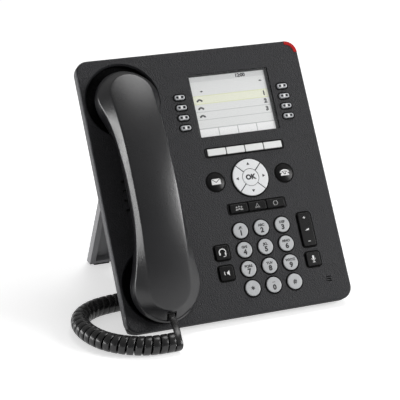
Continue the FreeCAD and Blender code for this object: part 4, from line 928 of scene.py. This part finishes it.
def parting_height(y):
    """The height of the groove between the two shells."""
    return PARTING_TOP - PARTING_R + math.sqrt(PARTING_R ** 2 - (y - ARCH_Y) ** 2)


def edge_height(y):
    """The height of the edge between the flank's upright wall and the chamfer above it."""
    share = min(max((y - EAR_DROP_FROM) / (EAR_DROP_TO - EAR_DROP_FROM), 0), 1)
    drop = EDGE_DROP + EAR_DROP * share ** 2 * (3 - 2 * share)
    return max(arch_height(CREASE_X, y) - drop, EDGE_LOWEST)


def finger_height(y):
    """The height of the roof of the room for fingers, or of the shells' lower edge beside it."""
    for start, end, middle_y, middle_z, radius in FINGER_ROOM:
        if start <= y <= end:
            return max(middle_z + math.sqrt(radius ** 2 - (y - middle_y) ** 2) + FINGER_GAP, LOW_Z)
    return LOW_Z


def corner(before, tip, after, size):
    """Points that round off a corner between two straight runs."""
    start = tip + (before - tip).normalized() * min(size, (before - tip).length * CORNER_SHARE)
    end = tip + (after - tip).normalized() * min(size, (after - tip).length * CORNER_SHARE)
    points = []
    for i in range(CORNER_STEPS + 1):
        t = i / CORNER_STEPS
        points.append(start * (1 - t) ** 2 + tip * (2 * t * (1 - t)) + end * t ** 2)
    return points


def handset_rib(low, edge, crease):
    """One line over the handset, up the wall and the chamfer and over the crease to the back's middle."""
    spine = Vector((0, min(max(crease.y, SPINE_LOW), SPINE_HIGH)))
    inward = (spine - crease.xy).normalized()
    beyond = crease.xy + inward * (3 * CREASE)
    rib = [low] + corner(low, edge, crease, EDGE_ROUND)
    rib += corner(edge, crease, Vector((*beyond, arch_height(*beyond))), CREASE)
    start = crease.xy + inward * CREASE
    for i in range(1, BACK_STEPS + 1):
        spot = start.lerp(spine, i / BACK_STEPS)
        rib.append(Vector((*spot, arch_height(*spot))))
    return rib


def parted(rib, above):
    """The part of a rib above or below the groove between the shells, down to the fingers' room."""
    gap = PARTING_GROOVE if above else -PARTING_GROOVE
    i = 0
    while rib[i + 1].z < parting_height(rib[i + 1].y) + gap:
        i += 1
    low, high = 0.0, 1.0
    for _ in range(PARTING_STEPS):
        share = (low + high) / 2
        spot = rib[i].lerp(rib[i + 1], share)
        if spot.z < parting_height(spot.y) + gap:
            low = share
        else:
            high = share
    if above:
        return [spot] * (i + 1) + rib[i + 1:]
    foot = rib[0].lerp(rib[1], (finger_height(rib[0].y) - LOW_Z) / (rib[1].z - LOW_Z))
    return [foot] + rib[1:i + 1] + [spot]


def handset_shell(name, ribs, wall_t):
    """A shell of the handset from its ribs, with a wall inside them and the notch for the cord's jack."""
    longest = max(len(rib) for rib in ribs)
    skin = bmesh.new()
    rows = [[skin.verts.new(p) for p in rib + [rib[-1]] * (longest - len(rib))] for rib in ribs]
    for i, row in enumerate(rows):
        beside = rows[(i + 1) % len(rows)]
        for k in range(longest - 1):
            skin.faces.new((row[k], beside[k], beside[k + 1], row[k + 1]))
    bmesh.ops.remove_doubles(skin, verts=skin.verts, dist=0.001)
    bmesh.ops.dissolve_degenerate(skin, edges=skin.edges, dist=0.001)
    bmesh.ops.recalc_face_normals(skin, faces=skin.faces)
    lowest = min(skin.faces, key=lambda f: f.calc_center_median().y)
    if lowest.normal.y > 0:
        bmesh.ops.reverse_faces(skin, faces=skin.faces)
    mesh = bpy.data.meshes.new(name)
    skin.to_mesh(mesh)
    skin.free()
    piece = bpy.data.objects.new(name, mesh)
    scene.collection.objects.link(piece)
    wall = piece.modifiers.new("wall", "SOLIDIFY")
    wall.thickness = wall_t
    wall.offset = -1
    notch = piece.modifiers.new("notch", "BOOLEAN")
    notch.operation = "DIFFERENCE"
    notch.object = jack_notch
    moulding = bpy.data.meshes.new_from_object(piece.evaluated_get(bpy.context.evaluated_depsgraph_get()))
    piece.modifiers.clear()
    moulding.transform(panel_place @ Matrix.Translation((CRADLE_X, 0, 0)))
    moulding.polygons.foreach_set("use_smooth", [True] * len(moulding.polygons))
    moulding.set_sharp_from_angle(angle=SHARP_ANGLE)
    moulding.materials.clear()
    moulding.materials.append(handset_black)
    piece.data = moulding
    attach(piece, "handset")
    return piece


jack_shape = bmesh.new()
jack_line = bar_line(0, JACK_END / 2 - JACK_PAST / 2, JACK_W, JACK_END + JACK_PAST)
add_plate(jack_shape, jack_line, JACK_Z - JACK_H / 2, JACK_Z + JACK_H / 2)
bmesh.ops.recalc_face_normals(jack_shape, faces=jack_shape.faces)
jack_mesh = bpy.data.meshes.new("jack_notch")
jack_shape.to_mesh(jack_mesh)
jack_shape.free()
jack_notch = bpy.data.objects.new("jack_notch", jack_mesh)
scene.collection.objects.link(jack_notch)
low_line = [Vector((*p, LOW_Z)) for p in bone_line(*low_outline)]
edge_line = [Vector((*p, edge_height(p[1]))) for p in bone_line(*edge_outline)]
crease_line = [Vector((*p, arch_height(*p))) for p in bone_line(*crease_outline)]
handset_ribs = [handset_rib(*spots) for spots in zip(low_line, edge_line, crease_line)]
handset_back = handset_shell("handset_back", [parted(rib, True) for rib in handset_ribs], SHELL_WALL)
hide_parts("handset_outer_shell")
handset_shell("handset_skirt", [parted(rib, False) for rib in handset_ribs], SKIRT_WALL)
bpy.data.objects.remove(jack_notch)

# Curly cord: a flat black vinyl strap, 5.6 by 2.4 mm, wound hot on a rod into a springy coil.
# It leaves the jack in the handset's lower end, lies on the desk in front of and beside the phone,
# and goes back under the panel to the handset socket in the rear bay.
STRAP_W = 5.6 * MM
STRAP_T = 2.4 * MM
STRAP_EDGE = 0.8 * MM
CURL_R = 6.5 * MM
CURL_PITCH = 6.1 * MM
CURL_TURNS = 30.5
CURL_POINTS = 16
COIL_START = 4.5 * MM
COIL_HEIGHT = 7.8
PLUG_STEP = 3.4
LEAD_POINTS = 24
UV_PER_M = 100
coil_line = [(-64, -25), (-81.5, -26), (-98, -22.5), (-112, -14), (-123, -1.5), (-129.5, 15),
             (-131, 32), (-125.5, 46.5), (-112.5, 56.5), (-98.5, 60), (-82, 61.5), (-52, 60)]
handset_lead_knots = [(-66.9, -20.5, 15.8), (-68.4, -27.5, 12.6)]
base_lead_knots = [(-53.5, 52.6, 15.5), (-49, 47.5, 21.5), (-42.5, 41, 25)]
jack_mouth = panel_place @ Vector((CRADLE_X, JACK_Y, JACK_Z))
socket_mouth = panel_place @ Vector((-29, 36, -20))


def desk_point(x, y, z):
    """Millimetres from the panel's lower front edge along the desk, in the frame."""
    return Vector((x, y + DESK_SHIFT, z)) * MM


def smooth_line(points):
    """Points along a smooth spline that has the given points as its control points."""
    curve = bpy.data.curves.new("route", "CURVE")
    curve.dimensions = "3D"
    curve.resolution_u = 6
    spline = curve.splines.new("NURBS")
    spline.points.add(len(points) - 1)
    for knot, point in zip(spline.points, points):
        knot.co = (*point, 1)
    spline.order_u = 3
    spline.use_endpoint_u = True
    holder = bpy.data.objects.new("route", curve)
    scene.collection.objects.link(holder)
    line = bpy.data.meshes.new_from_object(holder.evaluated_get(bpy.context.evaluated_depsgraph_get()))
    found = [v.co.copy() for v in line.vertices]
    bpy.data.objects.remove(holder)
    bpy.data.meshes.remove(line)
    return [p for i, p in enumerate(found) if i == 0 or (p - found[i - 1]).length > 0.00001]


coil_axis = smooth_line([desk_point(x, y, COIL_HEIGHT) for x, y in coil_line])
axis_run = [0.0]
for a, b in zip(coil_axis, coil_axis[1:]):
    axis_run.append(axis_run[-1] + (b - a).length)


def along_axis(s):
    """The place and direction of the coil's middle line at a distance from its start."""
    i = 0
    while i < len(axis_run) - 2 and axis_run[i + 1] < s:
        i += 1
    step = coil_axis[i + 1] - coil_axis[i]
    share = (s - axis_run[i]) / (axis_run[i + 1] - axis_run[i])
    return coil_axis[i] + step * share, step.normalized()


strap_knots = [jack_mouth, jack_mouth - panel_up * (PLUG_STEP * MM)]
strap_knots += [desk_point(*knot) for knot in handset_lead_knots]
curl_reach = CURL_R / math.cos(math.pi / CURL_POINTS)
for i in range(int(CURL_TURNS * CURL_POINTS) + 1):
    middle, ahead = along_axis(COIL_START + CURL_PITCH * i / CURL_POINTS)
    aside = Vector((0, 0, 1)).cross(ahead).normalized()
    turn = -2 * math.pi * i / CURL_POINTS
    strap_knots.append(middle + (aside * math.cos(turn) + Vector((0, 0, math.sin(turn)))) * curl_reach)
strap_knots += [desk_point(*knot) for knot in base_lead_knots]
strap_knots += [socket_mouth - Vector((step * PLUG_STEP * MM, 0, 0)) for step in (2, 1, 0)]
strap_line = smooth_line(strap_knots)

strap_section = []
for side_w, side_t, start in ((1, 1, 0), (-1, 1, 90), (-1, -1, 180), (1, -1, 270)):
    corner_w = side_w * (STRAP_W / 2 - STRAP_EDGE)
    corner_t = side_t * (STRAP_T / 2 - STRAP_EDGE)
    strap_section += round_line(corner_w, corner_t, STRAP_EDGE, start, start + 90, 2)


def off_axis(point):
    """The direction from the coil's middle line out to a point on the strap."""
    i = min(range(len(coil_axis)), key=lambda n: (coil_axis[n] - point).length_squared)
    best = coil_axis[i]
    for a, b in ((i - 1, i), (i, i + 1)):
        if a < 0 or b >= len(coil_axis):
            continue
        step = coil_axis[b] - coil_axis[a]
        share = (point - coil_axis[a]).dot(step) / step.length_squared
        foot = coil_axis[a] + step * min(max(share, 0), 1)
        if (foot - point).length_squared < (best - point).length_squared:
            best = foot
    return (point - best).normalized()


strap_shape = bmesh.new()
strap_uv = strap_shape.loops.layers.uv.new("along")
rings = []
runs = []
for i, point in enumerate(strap_line):
    from_jack = max(0.0, 1 - i / LEAD_POINTS)
    from_socket = max(0.0, 1 - (len(strap_line) - 1 - i) / LEAD_POINTS)
    away = off_axis(point) * (1 - from_jack) * (1 - from_socket) + panel_out * (from_jack - from_socket)
    ahead = (strap_line[min(i + 1, len(strap_line) - 1)] - strap_line[max(i - 1, 0)]).normalized()
    across = ahead.cross(away).normalized()
    proud = across.cross(ahead).normalized()
    rings.append([strap_shape.verts.new(point + across * w + proud * t) for w, t in strap_section])
    runs.append(runs[-1] + (point - strap_line[i - 1]).length if i else 0.0)
sides = len(strap_section)
for i in range(len(rings) - 1):
    for k in range(sides):
        n = (k + 1) % sides
        quad = strap_shape.faces.new((rings[i][k], rings[i][n], rings[i + 1][n], rings[i + 1][k]))
        quad.smooth = True
        for loop, (run, turn) in zip(quad.loops, ((i, k), (i, k + 1), (i + 1, k + 1), (i + 1, k))):
            loop[strap_uv].uv = (runs[run] * UV_PER_M, turn / sides)
strap_shape.faces.new(list(reversed(rings[0])))
strap_shape.faces.new(rings[-1])
bmesh.ops.recalc_face_normals(strap_shape, faces=strap_shape.faces)
strap_mesh = bpy.data.meshes.new("curly_cord")
strap_shape.to_mesh(strap_mesh)
strap_shape.free()
curly_cord = bpy.data.objects.new("curly_cord", strap_mesh)
scene.collection.objects.link(curly_cord)
cord_vinyl = moulded("cord_vinyl", (0.004, 0.004, 0.0046), (0.008, 0.008, 0.0088),
                     (0.2, 0.32), 900, 0.00002, specular=0.55)
strap_mesh.materials.append(cord_vinyl)
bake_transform(curly_cord)
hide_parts("handset_cord")

# Plugs of the cord: two small moulded modular plugs in smoky plastic, each with a spring latch.
# One clicks into the handset's lower end and the other into the socket in the rear bay.
plug_plastic = moulded("plug_plastic", (0.004, 0.004, 0.0044), (0.008, 0.008, 0.0088),
                       (0.12, 0.22), 500, 0.00001)
for node in ("cord_plug_handset", "cord_plug_base"):
    dress(node, plug_plastic)
